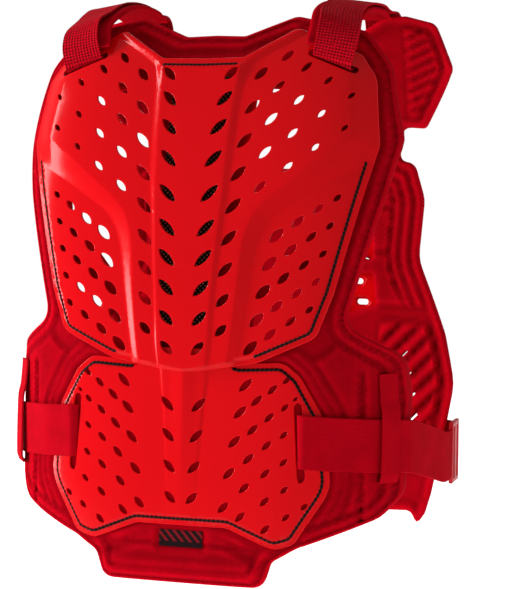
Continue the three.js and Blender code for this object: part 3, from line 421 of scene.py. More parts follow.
def shell(name, pattern, outer, inner, rim, rim_steps=3, crisp=None):
    """A closed wall over a flat pattern, between two surfaces, its edges rounded.

    outer and inner give points for x and z. crisp is a surface whose own normals shade
    the outer face, so that its facets stay sharp.
    """
    flat, faces = pattern
    used = np.unique(faces)
    index = np.full(len(flat), -1)
    index[used] = np.arange(len(used))
    flat, faces = flat[used], index[faces]
    top, low = outer(flat[:, 0], flat[:, 1]), inner(flat[:, 0], flat[:, 1])
    up = np.cross(top[faces[:, 1]] - top[faces[:, 0]], top[faces[:, 2]] - top[faces[:, 0]])
    if (up * (top - low)[faces[:, 0]]).sum() < 0:
        faces = faces[:, ::-1]
    count = len(flat)
    border = open_edges(faces, count)
    follows = dict(border)
    comes = {b: a for a, b in border}
    polys = [tuple(f) for f in faces.tolist()]
    polys += [tuple(count + i for i in reversed(f)) for f in faces.tolist()]
    ring_of = {v: 2 * count + k * rim_steps for k, v in enumerate(follows)}
    bound = np.array(list(follows))
    along = flat[[follows[v] for v in bound]] - flat[[comes[v] for v in bound]]
    away = np.stack([along[:, 1], -along[:, 0]], -1)
    away /= np.maximum(1e-9, np.linalg.norm(away, axis=1, keepdims=True))
    step = outer(*(flat[bound] + away * 0.5).T) - top[bound]
    step /= np.maximum(1e-9, np.linalg.norm(step, axis=1, keepdims=True))
    turn = math.pi * np.arange(1, rim_steps + 1)[None, :, None] / (rim_steps + 1)
    share = (1 - np.cos(turn)) / 2
    rings = (top[bound][:, None] * (1 - share) + low[bound][:, None] * share
             + step[:, None] * rim * np.sin(turn))
    for a, b in border:
        ra = [a] + [ring_of[a] + k for k in range(rim_steps)] + [count + a]
        rb = [b] + [ring_of[b] + k for k in range(rim_steps)] + [count + b]
        polys += [(rb[k], ra[k], ra[k + 1], rb[k + 1]) for k in range(rim_steps + 1)]
    piece = mesh_piece(name, np.concatenate([top, low, rings.reshape(-1, 3)]), polys)
    if crisp is not None:
        sharpen(piece, flat, faces, crisp)
    return piece


def sharpen(piece, flat, faces, surface):
    """Shades the outer face by the surface's own normals, taken just inside each facet."""
    middle = flat[faces].mean(1)
    mesh = piece.data
    normals = np.empty(len(mesh.loops) * 3)
    mesh.corner_normals.foreach_get("vector", normals)
    normals = normals.reshape(-1, 3)
    h = 0.8
    for k in range(3):
        p = flat[faces[:, k]] * 0.8 + middle * 0.2
        across = surface(p[:, 0] + h, p[:, 1]) - surface(p[:, 0] - h, p[:, 1])
        upward = surface(p[:, 0], p[:, 1] + h) - surface(p[:, 0], p[:, 1] - h)
        n = np.cross(across, upward)
        n /= np.linalg.norm(n, axis=1, keepdims=True)
        n *= np.sign((n * normals[k:3 * len(faces):3]).sum(1))[:, None]
        normals[k:3 * len(faces):3] = n
    mesh.normals_split_custom_set(normals)


def mesh_piece(name, points_mm, polys):
    """A smooth mesh object from points in millimetres."""
    mesh = bpy.data.meshes.new(name)
    mesh.from_pydata((np.asarray(points_mm) * MM).tolist(), [], polys)
    mesh.update()
    mesh.shade_smooth()
    piece = bpy.data.objects.new(name, mesh)
    bpy.context.scene.collection.objects.link(piece)
    return piece


# Operator helpers


def only(piece):
    """Selects one object alone."""
    bpy.ops.object.select_all(action="DESELECT")
    piece.select_set(True)
    bpy.context.view_layer.objects.active = piece


def settle(piece):
    """Puts a piece's place into its mesh."""
    only(piece)
    bpy.ops.object.transform_apply(location=True, rotation=True, scale=True)
    return piece


def finish_with(piece, kind, **settings):
    """Adds a modifier and applies it."""
    only(piece)
    modifier = piece.modifiers.new(kind.title(), kind)
    for key, value in settings.items():
        setattr(modifier, key, value)
    bpy.ops.object.modifier_apply(modifier=modifier.name)


def dress(piece, material, slot, *nodes):
    """Gives a piece its material and body, and hides the nodes that it stands for; slot is not
    used.
    """
    piece.data.materials.clear()
    piece.data.materials.append(material)
    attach(piece, "root")
    if nodes:
        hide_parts(*nodes)
    return piece


# Materials


class Maths:
    """A shader socket that takes part in Python expressions."""

    def __init__(self, tree, socket):
        self.tree, self.socket = tree, socket

    def apply(self, operation, *others, clamp=False):
        node = self.tree.nodes.new("ShaderNodeMath")
        node.operation = operation
        node.use_clamp = clamp
        for slot, value in zip(node.inputs, (self, *others)):
            feed(self.tree, slot, value)
        return Maths(self.tree, node.outputs[0])

    def __add__(self, other):
        return self.apply("ADD", other)

    def __radd__(self, other):
        return self.apply("ADD", other)

    def __sub__(self, other):
        return self.apply("SUBTRACT", other)

    def __rsub__(self, other):
        return (self * -1).apply("ADD", other)

    def __mul__(self, other):
        return self.apply("MULTIPLY", other)

    def __rmul__(self, other):
        return self.apply("MULTIPLY", other)

    def sin(self):
        return self.apply("SINE")

    def clamped(self):
        return self.apply("ADD", 0.0, clamp=True)

    def above(self, limit):
        return self.apply("GREATER_THAN", limit)


def feed(tree, slot, value):
    """Links a socket or sets its value."""
    if isinstance(value, Maths):
        tree.links.new(value.socket, slot)
    else:
        slot.default_value = value


class Finish:
    """A node material for one of the vest's surfaces."""

    def __init__(self, name, roughness, specular):
        self.material = bpy.data.materials.new(name)
        self.material.use_nodes = True
        self.tree = self.material.node_tree
        self.shader = self.tree.nodes["Principled BSDF"]
        self.shader.inputs["Roughness"].default_value = roughness
        self.shader.inputs["Specular IOR Level"].default_value = specular

    def node(self, kind, output, settings=(), **sockets):
        node = self.tree.nodes.new("ShaderNode" + kind)
        for key, value in dict(settings).items():
            setattr(node, key, value)
        for key, value in sockets.items():
            feed(self.tree, node.inputs[key.replace("_", " ")], value)
        return Maths(self.tree, node.outputs[output])

    def place(self):
        return self.node("TexCoord", "Object")

    def along_piece(self):
        return self.node("UVMap", "UV")

    def axis(self, vector, letter):
        return self.node("SeparateXYZ", letter, Vector=vector)

    def noise(self, scale, detail=2.0, vector=None, roughness=0.5):
        return self.node("TexNoise", "Fac", Vector=vector or self.place(), Scale=scale,
                         Detail=detail, Roughness=roughness)

    def between(self, factor, dark, light):
        """A colour between two, by a factor."""
        node = self.tree.nodes.new("ShaderNodeMix")
        node.data_type = "RGBA"
        feed(self.tree, node.inputs["Factor"], factor)
        feed(self.tree, node.inputs[6], dark)
        feed(self.tree, node.inputs[7], light)
        return Maths(self.tree, node.outputs[2])

    def colour(self, value):
        feed(self.tree, self.shader.inputs["Base Color"], value)

    def set(self, socket, value):
        feed(self.tree, self.shader.inputs[socket], value)

    def relief(self, height, distance, strength=1.0):
        bumped = self.node("Bump", "Normal", Height=height, Distance=distance,
                           Strength=strength)
        feed(self.tree, self.shader.inputs["Normal"], bumped)


def rgb(red, green, blue):
    return (red, green, blue, 1.0)


def waves(position, pitch, shift=0.0):
    """Waves from 0 to 1 along a position, their pitch in metres."""
    return 0.5 + 0.5 * (position * (2 * math.pi / pitch) + shift).sin()


def gloss_shell():
    """Moulded gloss plastic: even red, a faint flow of tone and fine orange peel."""
    finish = Finish("gloss_shell", 0.2, specular=0.13)
    flow = finish.noise(9.0, 3.0)
    finish.colour(finish.between(flow, rgb(0.70, 0.0010, 0.004), rgb(0.80, 0.0016, 0.006)))
    scuffs = finish.noise(140.0, 4.0, roughness=0.7)
    finish.set("Roughness", 0.10 + 0.1 * scuffs)
    finish.relief(finish.noise(260.0, 1.0), 0.0001, 0.2)
    return finish.material


def padded_cloth():
    """Matte stretch cloth over foam with a fine knit, with painted shade in its seams and
    grooves and painted light on the crowns of its rolls.
    """
    finish = Finish("padded_cloth", 1.0, specular=0.02)
    mottle = finish.noise(46.0, 5.0, roughness=0.65)
    knit = finish.noise(900.0, 2.0)
    # Painted shade and light: pointiness darkens the colour in seams and grooves and lightens
    # it on the ridges of the rolls.
    crease_shade_ridge_light = (finish.node("NewGeometry", "Pointiness") * 6.0 - 2.5).clamped()
    tone = ((0.35 * mottle + 0.25 * knit + 0.25) * (0.05 + 1.7 * crease_shade_ridge_light)).clamped()
    finish.colour(finish.between(tone, rgb(0.04, 0.0, 0.001), rgb(0.72, 0.001, 0.012)))
    finish.relief(0.6 * knit + 0.5 * mottle, 0.0006, 0.45)
    return finish.material


def ribbed_webbing():
    """Woven webbing: ribs across the strap with the zigzag of the warp."""
    finish = Finish("ribbed_webbing", 0.9, specular=0.05)
    uv = finish.along_piece()
    u, v = finish.axis(uv, "X"), finish.axis(uv, "Y")
    rib = waves(v, pitch=0.0026)
    warp = waves(u, pitch=0.0030, shift=1.6 * rib)
    weave = 0.55 * rib + 0.45 * warp
    tone = (0.85 * weave + 0.5 * finish.noise(420.0, 3.0) - 0.15).clamped()
    finish.colour(finish.between(tone, rgb(0.06, 0.0, 0.001), rgb(0.86, 0.002, 0.018)))
    finish.relief(weave, 0.0012, 0.8)
    return finish.material


def elastic_band():
    """Close-woven elastic: fine cords along the strap and a faint cross rib."""
    finish = Finish("elastic_band", 0.95, specular=0.03)
    uv = finish.along_piece()
    u, v = finish.axis(uv, "X"), finish.axis(uv, "Y")
    weave = 0.6 * waves(u, pitch=0.0011) + 0.4 * waves(v, pitch=0.0008)
    tone = (0.35 * weave + 0.45 * finish.noise(45.0, 4.0)).clamped()
    finish.colour(finish.between(tone, rgb(0.26, 0.0003, 0.003), rgb(0.80, 0.001, 0.016)))
    finish.relief(weave, 0.0004, 0.5)
    return finish.material


MESH_PITCH = 0.0046     # in metres


def vent_mesh():
    """Dark open mesh cloth with tan points of light through it."""
    finish = Finish("vent_mesh", 0.85, specular=0.2)
    place = finish.place()
    x, z = finish.axis(place, "X"), finish.axis(place, "Z")
    turn = 2 * math.pi / MESH_PITCH
    cells = (z * turn).sin() * (x * turn).sin()
    finish.colour(finish.between(
        cells.above(0.4), rgb(0.006, 0.002, 0.002), rgb(0.50, 0.20, 0.11)))
    finish.relief(cells, 0.0008, 0.6)
    return finish.material


def sewing_thread():
    """Black bonded thread."""
    finish = Finish("sewing_thread", 0.7, specular=0.15)
    finish.colour(finish.between(finish.noise(700.0), rgb(0.002, 0.0006, 0.0006),
                                 rgb(0.012, 0.002, 0.002)))
    return finish.material


def buckle_plastic():
    """Moulded buckle plastic with a slightly worn sheen."""
    finish = Finish("buckle_plastic", 0.38, specular=0.3)
    wear = finish.noise(75.0, 5.0, roughness=0.7)
    finish.colour(finish.between(wear, rgb(0.46, 0.003, 0.009), rgb(0.64, 0.006, 0.014)))
    finish.set("Roughness", 0.3 + 0.2 * wear)
    finish.relief(finish.noise(320.0), 0.0002, 0.3)
    return finish.material


# The tag's bars, in metres: their pitch, and the height that they stop at
BAR_PITCH, BARS_ABOVE = 0.0075, -0.4838


def woven_tag():
    """Black woven tag with plain slanted bars."""
    finish = Finish("woven_tag", 0.85, specular=0.15)
    place = finish.place()
    x, z = finish.axis(place, "X"), finish.axis(place, "Z")
    bars = ((x + z * 0.9) * (2 * math.pi / BAR_PITCH)).sin().above(0.3)
    upper = z.above(BARS_ABOVE)
    finish.colour(finish.between(
        bars * upper, rgb(0.010, 0.001, 0.002), rgb(0.20, 0.003, 0.007)))
    finish.relief(finish.noise(1500.0), 0.0004, 0.5)
    return finish.material


SHELL, CLOTH, WEBBING = gloss_shell(), padded_cloth(), ribbed_webbing()
ELASTIC, MESH, THREAD = elastic_band(), vent_mesh(), sewing_thread()
PLASTIC, TAG = buckle_plastic(), woven_tag()


# Hard front plates

CHEST_SIDES = [(d, a) for a, d, _ in CHEST_OUTLINE[3:]]
CHEST_EDGE = whole(CHEST_OUTLINE, CHEST_HALF, CHEST_HEIGHT, CHEST_TOP)
ABDOMEN_EDGE = whole(ABDOMEN_OUTLINE, ABDOMEN_HALF, ABDOMEN_HEIGHT, ABDOMEN_TOP)
CHEST_LEVEL = CHEST_LIFT + PLATE_WALL
ABDOMEN_LEVEL = PLATE_WALL
CHEST_FIELD, ABDOMEN_FIELD = EdgeField(CHEST_EDGE), EdgeField(ABDOMEN_EDGE)
# Stepped flange round the lower panels: its width, depth and the slope's half width
RIM_FLANGE, RIM_STEP, RIM_SLOPE = 5.5, 1.4, 0.7
# The crease stands higher towards the neck: by what share, and from where over what length
NECK_SWELL, NECK_FROM, NECK_LENGTH = 1.2, -78, 26
NECK_FLANGE_FROM, BAND_LINES_FROM = -56, -90
# Columns of the ridge table
CREASE, BAND, FADE = 1, 3, 5


def ridge(column, z):
    """Half distance between the two mirrored ridge lines of a column."""
    return curve_at(RIDGES, column, -z / TORSO_HEIGHT) * CHEST_HALF


def plate_half(z):
    """Half width of the chest plate."""
    return CHEST_HALF * line_at(CHEST_SIDES, 1, (CHEST_TOP - z) / CHEST_HEIGHT)


def ridge_steps(x, z):
    """How far each point is up the centre crease and the shoulder band, from 0 to 1."""
    return [clamp01((ridge(k + 1, z) - np.abs(x)) / (ridge(k + 1, z) - ridge(k, z)))
            for k in (CREASE, BAND)]


def relief(x, z):
    """Moulded form of the front plates above their base level."""
    crease, band = ridge_steps(x, z)
    fade = line_at(RIDGES, FADE, -z / TORSO_HEIGHT)
    side = smooth((plate_half(z) - np.abs(x)) / EDGE_FADE)
    neck = 1 + NECK_SWELL * smooth((z - NECK_FROM) / NECK_LENGTH)
    return CREASE_RISE * fade * neck * crease + BAND_RISE * fade * side * band


def flange(x, z, field, where):
    """Step down to the stitched flange round the lower panels."""
    return -RIM_STEP * clamp01((RIM_FLANGE + RIM_SLOPE - field(x, z)) / (2 * RIM_SLOPE)) * where


def chest_flanged(x, z):
    """Where the chest plate has its flange: off the raised band, and at the neck."""
    crease, band = ridge_steps(x, z)
    return np.maximum(1 - clamp01(band * 3),
                      clamp01(crease * 3 - 2) * (z > NECK_FLANGE_FROM))


def chest_surface(x, z):
    rise = relief(x, z) + flange(x, z, CHEST_FIELD, chest_flanged(x, z))
    return over_body(FRONT, x, z, CHEST_LEVEL + rise)


def abdomen_surface(x, z):
    rise = relief(x, z) + flange(x, z, ABDOMEN_FIELD, 1.0)
    return over_body(FRONT, x, z, ABDOMEN_LEVEL + rise)


def ridge_lines(top, bottom, *columns):
    """The relief's edges as polylines, both sides."""
    z = np.arange(top, bottom, -4.0)
    return [np.stack([side * ridge(k, z), z], -1) for k in columns for side in (1, -1)]


def strap_slot(side):
    half = WEBBING_WIDTH / 2 + 1
    return slot_outline((side * (SHOULDER_X - half), SLOT_Z + SLOT_TILT),
                        (side * (SHOULDER_X + half), SLOT_Z - SLOT_TILT), SLOT_WIDTH)


def waist_slot(side):
    return slot_outline((side * (WAIST_SLOT_X - 2), -WAIST_DROP + WAIST_SLOT_HEIGHT / 2),
                        (side * (WAIST_SLOT_X + 2), -WAIST_DROP - WAIST_SLOT_HEIGHT / 2),
                        SLOT_WIDTH + 1.6)


def plate(name, edge, holes, level, surface, lines, spacing=3.4):
    """A hard front plate: a wall whose outer face steps down to the flange."""
    rims = [inward(edge, RIM_FLANGE + way * RIM_SLOPE) for way in (-1, 1)]
    closed = [np.concatenate([r, r[:1]]) for r in rims]
    pattern = cut_pattern(edge, holes, lines + closed, spacing)
    return shell(name, pattern, surface,
                 lambda x, z: over_body(FRONT, x, z, level - PLATE_WALL + relief(x, z)),
                 rim=0.7, rim_steps=3, crisp=surface)


chest_holes = leaf_holes(CHEST_HOLES, CHEST_HALF, CHEST_HEIGHT, CHEST_TOP)
chest = plate("chest_shell", CHEST_EDGE, chest_holes + [strap_slot(1), strap_slot(-1)],
              CHEST_LEVEL, chest_surface,
              ridge_lines(CHEST_TOP, CHEST_TOP - CHEST_HEIGHT, CREASE, CREASE + 1)
              + ridge_lines(BAND_LINES_FROM, CHEST_TOP - CHEST_HEIGHT, BAND, BAND + 1))
dress(chest, SHELL, "shell", "chest_plate")
abdomen_holes = leaf_holes(ABDOMEN_HOLES, ABDOMEN_HALF, ABDOMEN_HEIGHT, ABDOMEN_TOP)
abdomen = plate("abdomen_shell", ABDOMEN_EDGE,
                abdomen_holes + [waist_slot(1), waist_slot(-1)],
                ABDOMEN_LEVEL, abdomen_surface,
                ridge_lines(ABDOMEN_TOP, ABDOMEN_TOP - ABDOMEN_HEIGHT,
                            CREASE, CREASE + 1, BAND, BAND + 1))
dress(abdomen, SHELL, "shell", "abdomen_plate")


# Padded liners


def rolls(distance, *ends):
    """Height of padded rolls side by side, between seams at the given distances."""
    return sum(bump(distance, (a + b) / 2, (b - a) / 2) for a, b in zip(ends, ends[1:]))


LINER_EDGE = whole(LINER_OUTLINE, LINER_HALF, TORSO_HEIGHT, 0)
LINER_FIELD = EdgeField(LINER_EDGE)
LINER_RIM = 3.0
VENT = np.array([(-VENT_HALF, VENT_BOTTOM), (VENT_HALF, VENT_BOTTOM),
                 (VENT_HALF, VENT_TOP), (-VENT_HALF, VENT_TOP)], float)
TAG_Z, TAG_CLEAR = ABDOMEN_TOP - 0.9 * ABDOMEN_HEIGHT - 12.8, (21, 8)
# Padding, in from the edge: the piping's and the roll's ends and heights
PIPING, PIPING_RISE, EDGE_ROLL, EDGE_ROLL_RISE = (-1, 4), 1.5, (4, 14), 2.8
# Padding, out from the plates: the rolls' seams, then the cushion, and its height
PLATE_ROLLS, PLATE_ROLLS_ABOVE, CUSHION_RISE = (3, 10, 17), -484, 2.6
# Seams of the waist wings, wearer's left: x and z of each end
WING_SEAMS = [((157, -330), (157, -462)), ((132, -384), (157, -384))]


def seam_grooves(x, z, seams, half=3.0):
    """Depth of stitched grooves, mirrored to both sides."""
    p = np.stack([np.abs(x), z], -1)
    depth = np.zeros(len(x))
    for a, b in seams:
        a, b = np.array(a, float), np.array(b, float)
        t = clamp01((p - a) @ (b - a) / ((b - a) @ (b - a)))
        distance = np.linalg.norm(p - a - t[:, None] * (b - a), axis=1)
        depth = np.maximum(depth, 1 - clamp01(distance / half))
    return depth


def liner_outer(x, z):
    """The face under and round the plates: piping, rolls, cushions and the puffed flap."""
    edge = LINER_FIELD(x, z)
    chest_away, abdomen_away = -CHEST_FIELD(x, z), -ABDOMEN_FIELD(x, z)
    plates = np.minimum(chest_away, abdomen_away)
    clear = smooth((plates - 1.5) / 4)
    across = smooth((FLAP_HALF - np.abs(x)) / 14)
    flap = FLAP_PUFF * smooth((FLAP_TOP - z) / 14) * across * smooth(edge / 12)
    piped = np.maximum(PIPING_RISE * rolls(edge, *PIPING),
                       EDGE_ROLL_RISE * rolls(edge, *EDGE_ROLL))
    inner = smooth((edge - EDGE_ROLL[-1]) / 3)
    round_plate = CUSHION_RISE * rolls(abdomen_away, *PLATE_ROLLS) * inner
    round_plate *= z > PLATE_ROLLS_ABOVE
    cushion = CUSHION_RISE * inner * smooth((plates - PLATE_ROLLS[-1]) / 4)
    rise = np.maximum(np.maximum(piped, round_plate), cushion) + flap
    rise -= 3.0 * seam_grooves(x, z, WING_SEAMS) * (edge > PIPING[-1])
    beside_tag = smooth((np.abs(x) - TAG_CLEAR[0]) / 4)
    over_tag = smooth((np.abs(z - TAG_Z) - TAG_CLEAR[1]) / 4)
    return over_body(FRONT, x, z, LINER_OUT + clear * np.maximum(beside_tag, over_tag) * rise)


def liner_inner(x, z):
    """The face towards the wearer, thinner at its edge."""
    return over_body(FRONT, x, z,
                     LINER_OUT - LINER_WALL + 1.2 * (1 - smooth(LINER_FIELD(x, z) / 9)))


liner_holes = [inward(w, -LINER_RIM * 0.6) for w in
               windows(LINER_WINDOWS, LINER_HALF, TORSO_HEIGHT, 0)] + [VENT]
liner_edge = inward(resample(LINER_EDGE, 6.0), LINER_RIM)
seam_lines = [np.array([(side * x, z) for x, z in seam], float)
              for seam in WING_SEAMS for side in (1, -1)]
seam_lines += [inward(liner_edge, depth - LINER_RIM) for depth in EDGE_ROLL]
front_pad = shell("front_padding", cut_pattern(liner_edge, liner_holes, seam_lines, 3.0),
                  liner_outer, liner_inner, rim=LINER_RIM, rim_steps=5)
dress(front_pad, CLOTH, "padding", "front_liner")

BACK_EDGE = whole(BACK_LINER_OUTLINE, BACK_LINER_HALF, TORSO_HEIGHT, 0)
BACK_FIELD = EdgeField(BACK_EDGE)
# Seams between the padded ribs, wearer's left: x and z of each end
RIB_SEAMS = [((80, -232), (170, -236)), ((80, -188), (170, -190))]


def stripes(position, pitch):
    """Rounded ribs across a direction."""
    return np.abs(np.sin(math.pi * position / pitch)) ** 0.8


def leaning_ribs(across, z, lean, pitch):
    """Ribs that rise away from the centre at a lean, in radians."""
    return stripes(z * math.cos(lean) - across * math.sin(lean), pitch)


def back_inner(x, z):
    """The face towards the wearer: ribbed shoulder wings, padded ribs and the waist fan."""
    across = np.abs(x)
    edge = BACK_FIELD(x, z)
    rise = 2.6 * rolls(edge, -1, 9)
    wing = smooth((edge - 10) / 2) * (across > 146) * (z > -108)
    rise += 4.2 * wing * leaning_ribs(across, z, 0.38, 9.4)
    middle = smooth((edge - 9.5) / 2) * (z < -140) * (z > -286) * (across > 92)
    rise += 3.2 * middle * stripes(edge - 9.5, 11.0) * (edge < 31.5)
    rise += 3.4 * middle * (edge > 32) * (1 - seam_grooves(x, z, RIB_SEAMS, 3.4))
    fan = smooth((edge - 14) / 3) * smooth((-z - 300) / 8) * smooth((z + 455) / 8)
    rise += 6.0 * fan * (across > 118) * leaning_ribs(across, z, math.pi / 4, 15.0)
    return over_body(BACK, x, z, -rise)


def back_outer(x, z):
    """The outer face, which carries the hard back plates, thinner at its edge."""
    return over_body(BACK, x, z, BACK_LINER_OUT - 1.2 * (1 - smooth(BACK_FIELD(x, z) / 9)))


def back_slit(side, row, reach=20, width=6):
    """One of the slanted slits in the waist fan, the first row the highest."""
    across, z = 128 + 4 * row, -352 - 21 * row
    return slot_outline((side * across, z), (side * (across + reach), z + reach), width)


back_slits = [back_slit(side, row) for side in (1, -1) for row in range(4)]
back_holes = [inward(w, -1.8) for w in
              windows(BACK_WINDOWS, BACK_LINER_HALF, TORSO_HEIGHT, 0)
              + [whole(BACK_VENT, BACK_LINER_HALF, TORSO_HEIGHT, 0)]] + back_slits
back_pad = shell("back_padding",
                 cut_pattern(inward(resample(BACK_EDGE, 6.0), LINER_RIM), back_holes, [], 3.2),
                 back_inner, back_outer, rim=LINER_RIM, rim_steps=5)
dress(back_pad, CLOTH, "padding", "back_liner")


# Hard back plates


def back_surface(x, z, out):
    """Points over the back liner, with the raised spine panel."""
    spine = SPINE_RISE * smooth((0.2 * BACK_LINER_HALF - np.abs(x)) / 20)
    return over_body(BACK, x, z, BACK_LINER_OUT + CLEARANCE + out + spine)


def back_plate(name, rows, half, height, top, node):
    """A hard plate with rows of slots either side of its spine panel."""
    edge = whole(rows, half, height, top)
    holes = []
    for r, z in enumerate(np.arange(top - 26, top - height + 16, -21.0)):
        for x in np.arange(46, half - 12, 22.0):
            for side in (1, -1):
                middle = np.array([side * (x + 6 * (r % 2)), z])
                hole = slot_outline(middle - (3.2, 0), middle + (3.2, 0), 6.0)
                if inside(hole, inward(edge, 7)).all():
                    holes.append(hole)
    outer = partial(back_surface, out=PLATE_WALL)
    piece = shell(name, cut_pattern(edge, holes, [], 4.5), outer,
                  partial(back_surface, out=0), rim=0.7, rim_steps=3, crisp=outer)
    return dress(piece, SHELL, "shell", node)


back_plate("back_shell_upper", UPPER_BACK_OUTLINE, BACK_PLATE_HALF, BACK_PLATE_HEIGHT,
           UPPER_BACK_TOP, "back_plate_upper")
back_plate("back_shell_lower", LOWER_BACK_OUTLINE, LOWER_BACK_HALF, LOWER_BACK_HEIGHT,
           LOWER_BACK_TOP, "back_plate_lower")


# Straps


def spline(points, spacing):
    """Points on a smooth curve through the given ones, and their places along it."""
    points = np.array(points, float)
    padded = np.concatenate([2 * points[:1] - points[1:2], points,
                             2 * points[-1:] - points[-2:-1]])
    out, marks = [], []
    for i in range(len(points) - 1):
        p0, p1, p2, p3 = padded[i:i + 4]
        steps_here = max(2, math.ceil(np.linalg.norm(p2 - p1) / spacing - 0.001))
        for k in range(steps_here):
            t = k / steps_here
            out.append(0.5 * (2 * p1 + (p2 - p0) * t + (2 * p0 - 5 * p1 + 4 * p2 - p3) * t ** 2
                              + (3 * p1 - p0 - 3 * p2 + p3) * t ** 3))
            marks.append(i + t)
    out.append(points[-1])
    marks.append(len(points) - 1)
    return np.array(out), np.array(marks)


def strap(name, side, centres, across, section, spacing=3.0):
    """A strap swept along its centres.

    across holds the width direction at each centre. section gives the loop of points,
    across and out, at a run along the strap's length.
    """
    path, marks = spline(centres, spacing)
    across = np.array(across, float)
    cols = [np.interp(marks, range(len(across)), across[:, k]) for k in range(3)]
    wide = np.stack(cols, -1)
    ahead = np.gradient(path, axis=0)
    ahead /= np.linalg.norm(ahead, axis=1, keepdims=True)
    normal = np.cross(wide, ahead)
    normal /= np.linalg.norm(normal, axis=1, keepdims=True)
    wide = np.cross(ahead, normal)
    run = np.concatenate([[0], np.cumsum(np.linalg.norm(np.diff(path, axis=0), axis=1))])
    loops = np.array([section(at, run[-1]) for at in run])
    verts = path[:, None] + loops[..., :1] * wide[:, None] + loops[..., 1:] * normal[:, None]
    verts = verts.reshape(-1, 3) * (side, 1, 1)
    uvs = [(a * MM, at * MM) for at, loop in zip(run, loops) for a in loop[:, 0]]
    n = loops.shape[1]
    polys = [(i * n + k, i * n + (k + 1) % n, (i + 1) * n + (k + 1) % n, (i + 1) * n + k)
             for i in range(len(path) - 1) for k in range(n)]
    polys += [tuple(reversed(range(n))), tuple(range(len(verts) - n, len(verts)))]
    piece = mesh_piece(name, verts, polys)
    layer = piece.data.uv_layers.new(name="UVMap")
    for corner in piece.data.loops:
        layer.data[corner.index].uv = uvs[corner.vertex_index]
    face_outward(piece)
    only(piece)
    bpy.ops.object.shade_smooth_by_angle(angle=math.radians(50))
    return piece


def face_outward(piece):
    """Turns a closed piece's faces outwards."""
    bm = bmesh.new()
    bm.from_mesh(piece.data)
    bmesh.ops.recalc_face_normals(bm, faces=bm.faces)
    bm.to_mesh(piece.data)
    bm.free()


def flat_section(width, wall, columns=10, selvedge=0.25):
    """Section of a woven strap: flat, with slightly thicker woven edges."""
    half = width / 2
    a = np.linspace(-half + wall * 0.4, half - wall * 0.4, columns)
    edge = selvedge * np.exp(-((half - np.abs(a)) / 2.2) ** 2)
    top = [(p, wall + e) for p, e in zip(a, edge)]
    low = [(p, 0.0) for p in a[::-1]]
    loop = [(-half, wall * 0.5)] + top + [(half, wall * 0.5)] + low
    return lambda run, length: loop


def tilted(tilt):
    """Width direction that drops by the tilt away from the neck."""
    return np.array([1, 0, -tilt]) / math.hypot(1, tilt)


def chest_outer(x, z):
    """How far out the chest plate's face lies at one point."""
    return CHEST_LEVEL + float(relief(np.array([x]), np.array([z]))[0])


def seat_point(face, x, z, out):
    """One point at a distance out from the body."""
    return on_body(face, np.array([x]), np.array([z]), np.array([out]))[0]


def arch_y(share):
    """Depth of a station of the shoulder arch."""
    return share * (FRONT_REACH if share < 0 else BACK_REACH)


def shoulder_sleeve(label, side):
    """Foam sleeve: crowned, with a piped seam along each edge."""
    x = SHOULDER_X - PAD_SHIFT
    slot_tilt = 2 * SLOT_TILT / WEBBING_WIDTH
    centres, across = [], []
    for k, rise in enumerate((5, 20)):
        out = chest_outer(x, SLOT_Z + rise) + CLEARANCE + 0.9 + k
        centres.append(seat_point(FRONT, x, SLOT_Z + rise, out))
        across.append(tilted(slot_tilt))
    for y, z, tilt in SHOULDER_ARCH:
        centres.append(np.array([x, arch_y(y), z * TORSO_HEIGHT]))
        across.append(tilted(tilt))

    def section(run, length):
        full = PAD_WALL * (0.45 + 0.55 * smooth(np.array(min(run, length - run) / 18)))
        half = PAD_WIDTH / 2
        turn = np.linspace(0, 2 * math.pi, 33)[:-1]
        c, s = np.cos(turn), np.sin(turn)
        a = half * np.sign(c) * np.abs(c) ** 0.35
        n = full / 2 + full / 2 * np.sign(s) * np.abs(s) ** 0.75
        seam = 0.9 * np.exp(-((half - 5.5 - np.abs(a)) / 1.3) ** 2)
        n = n - seam * np.sign(s) * (np.abs(s) > 0.2)
        return np.stack([a, n], -1)

    piece = strap(f"shoulder_sleeve_{label}", side, centres, across, section)
    dress(piece, CLOTH, "padding", f"shoulder_pad_{label}")
    return piece


def shoulder_strap(label, side):
    """Webbing from the chest slot over the sleeve and down the back."""
    x = SHOULDER_X
    slot_tilt = 2 * SLOT_TILT / WEBBING_WIDTH
    outer = chest_outer(x, SLOT_Z)
    rise = WEBBING_WALL / 2 + 0.2

    def in_slot(out, forward):
        y = seat_point(FRONT, x, SLOT_Z + rise, out)[1]
        return np.array([x, y - forward, SLOT_Z + rise])

    centres = [in_slot(0, 3.5), in_slot(outer, -1), in_slot(outer, 5),
               seat_point(FRONT, x, SLOT_Z + 6, outer + PAD_WALL * 0.55 + 6.6),
               seat_point(FRONT, x, SLOT_Z + 20, outer + PAD_WALL + 5.6)]
    across = [tilted(slot_tilt)] * len(centres)
    lift = PAD_WALL + CLEARANCE + 0.5
    for i, (y, z, tilt) in enumerate(SHOULDER_ARCH):
        before = SHOULDER_ARCH[max(0, i - 1)]
        after = SHOULDER_ARCH[min(len(SHOULDER_ARCH) - 1, i + 1)]
        slope = (after[1] - before[1]) * TORSO_HEIGHT / (arch_y(after[0]) - arch_y(before[0]))
        turn = math.hypot(1, slope)
        centres.append(np.array([x, arch_y(y) - slope * lift / turn,
                                 z * TORSO_HEIGHT + lift / turn - PAD_SHIFT * tilt]))
        across.append(tilted(tilt))
    tail_out = BACK_LINER_OUT + CLEARANCE + 1.2
    for drop in (6, 22, 45, WEBBING_TAIL):
        centres.append(seat_point(BACK, x, -drop, tail_out))
        across.append(tilted(0))
    piece = strap(f"shoulder_strap_{label}", side, centres, across,
                  flat_section(WEBBING_WIDTH, WEBBING_WALL))
    return dress(piece, WEBBING, "webbing", f"shoulder_webbing_{label}")


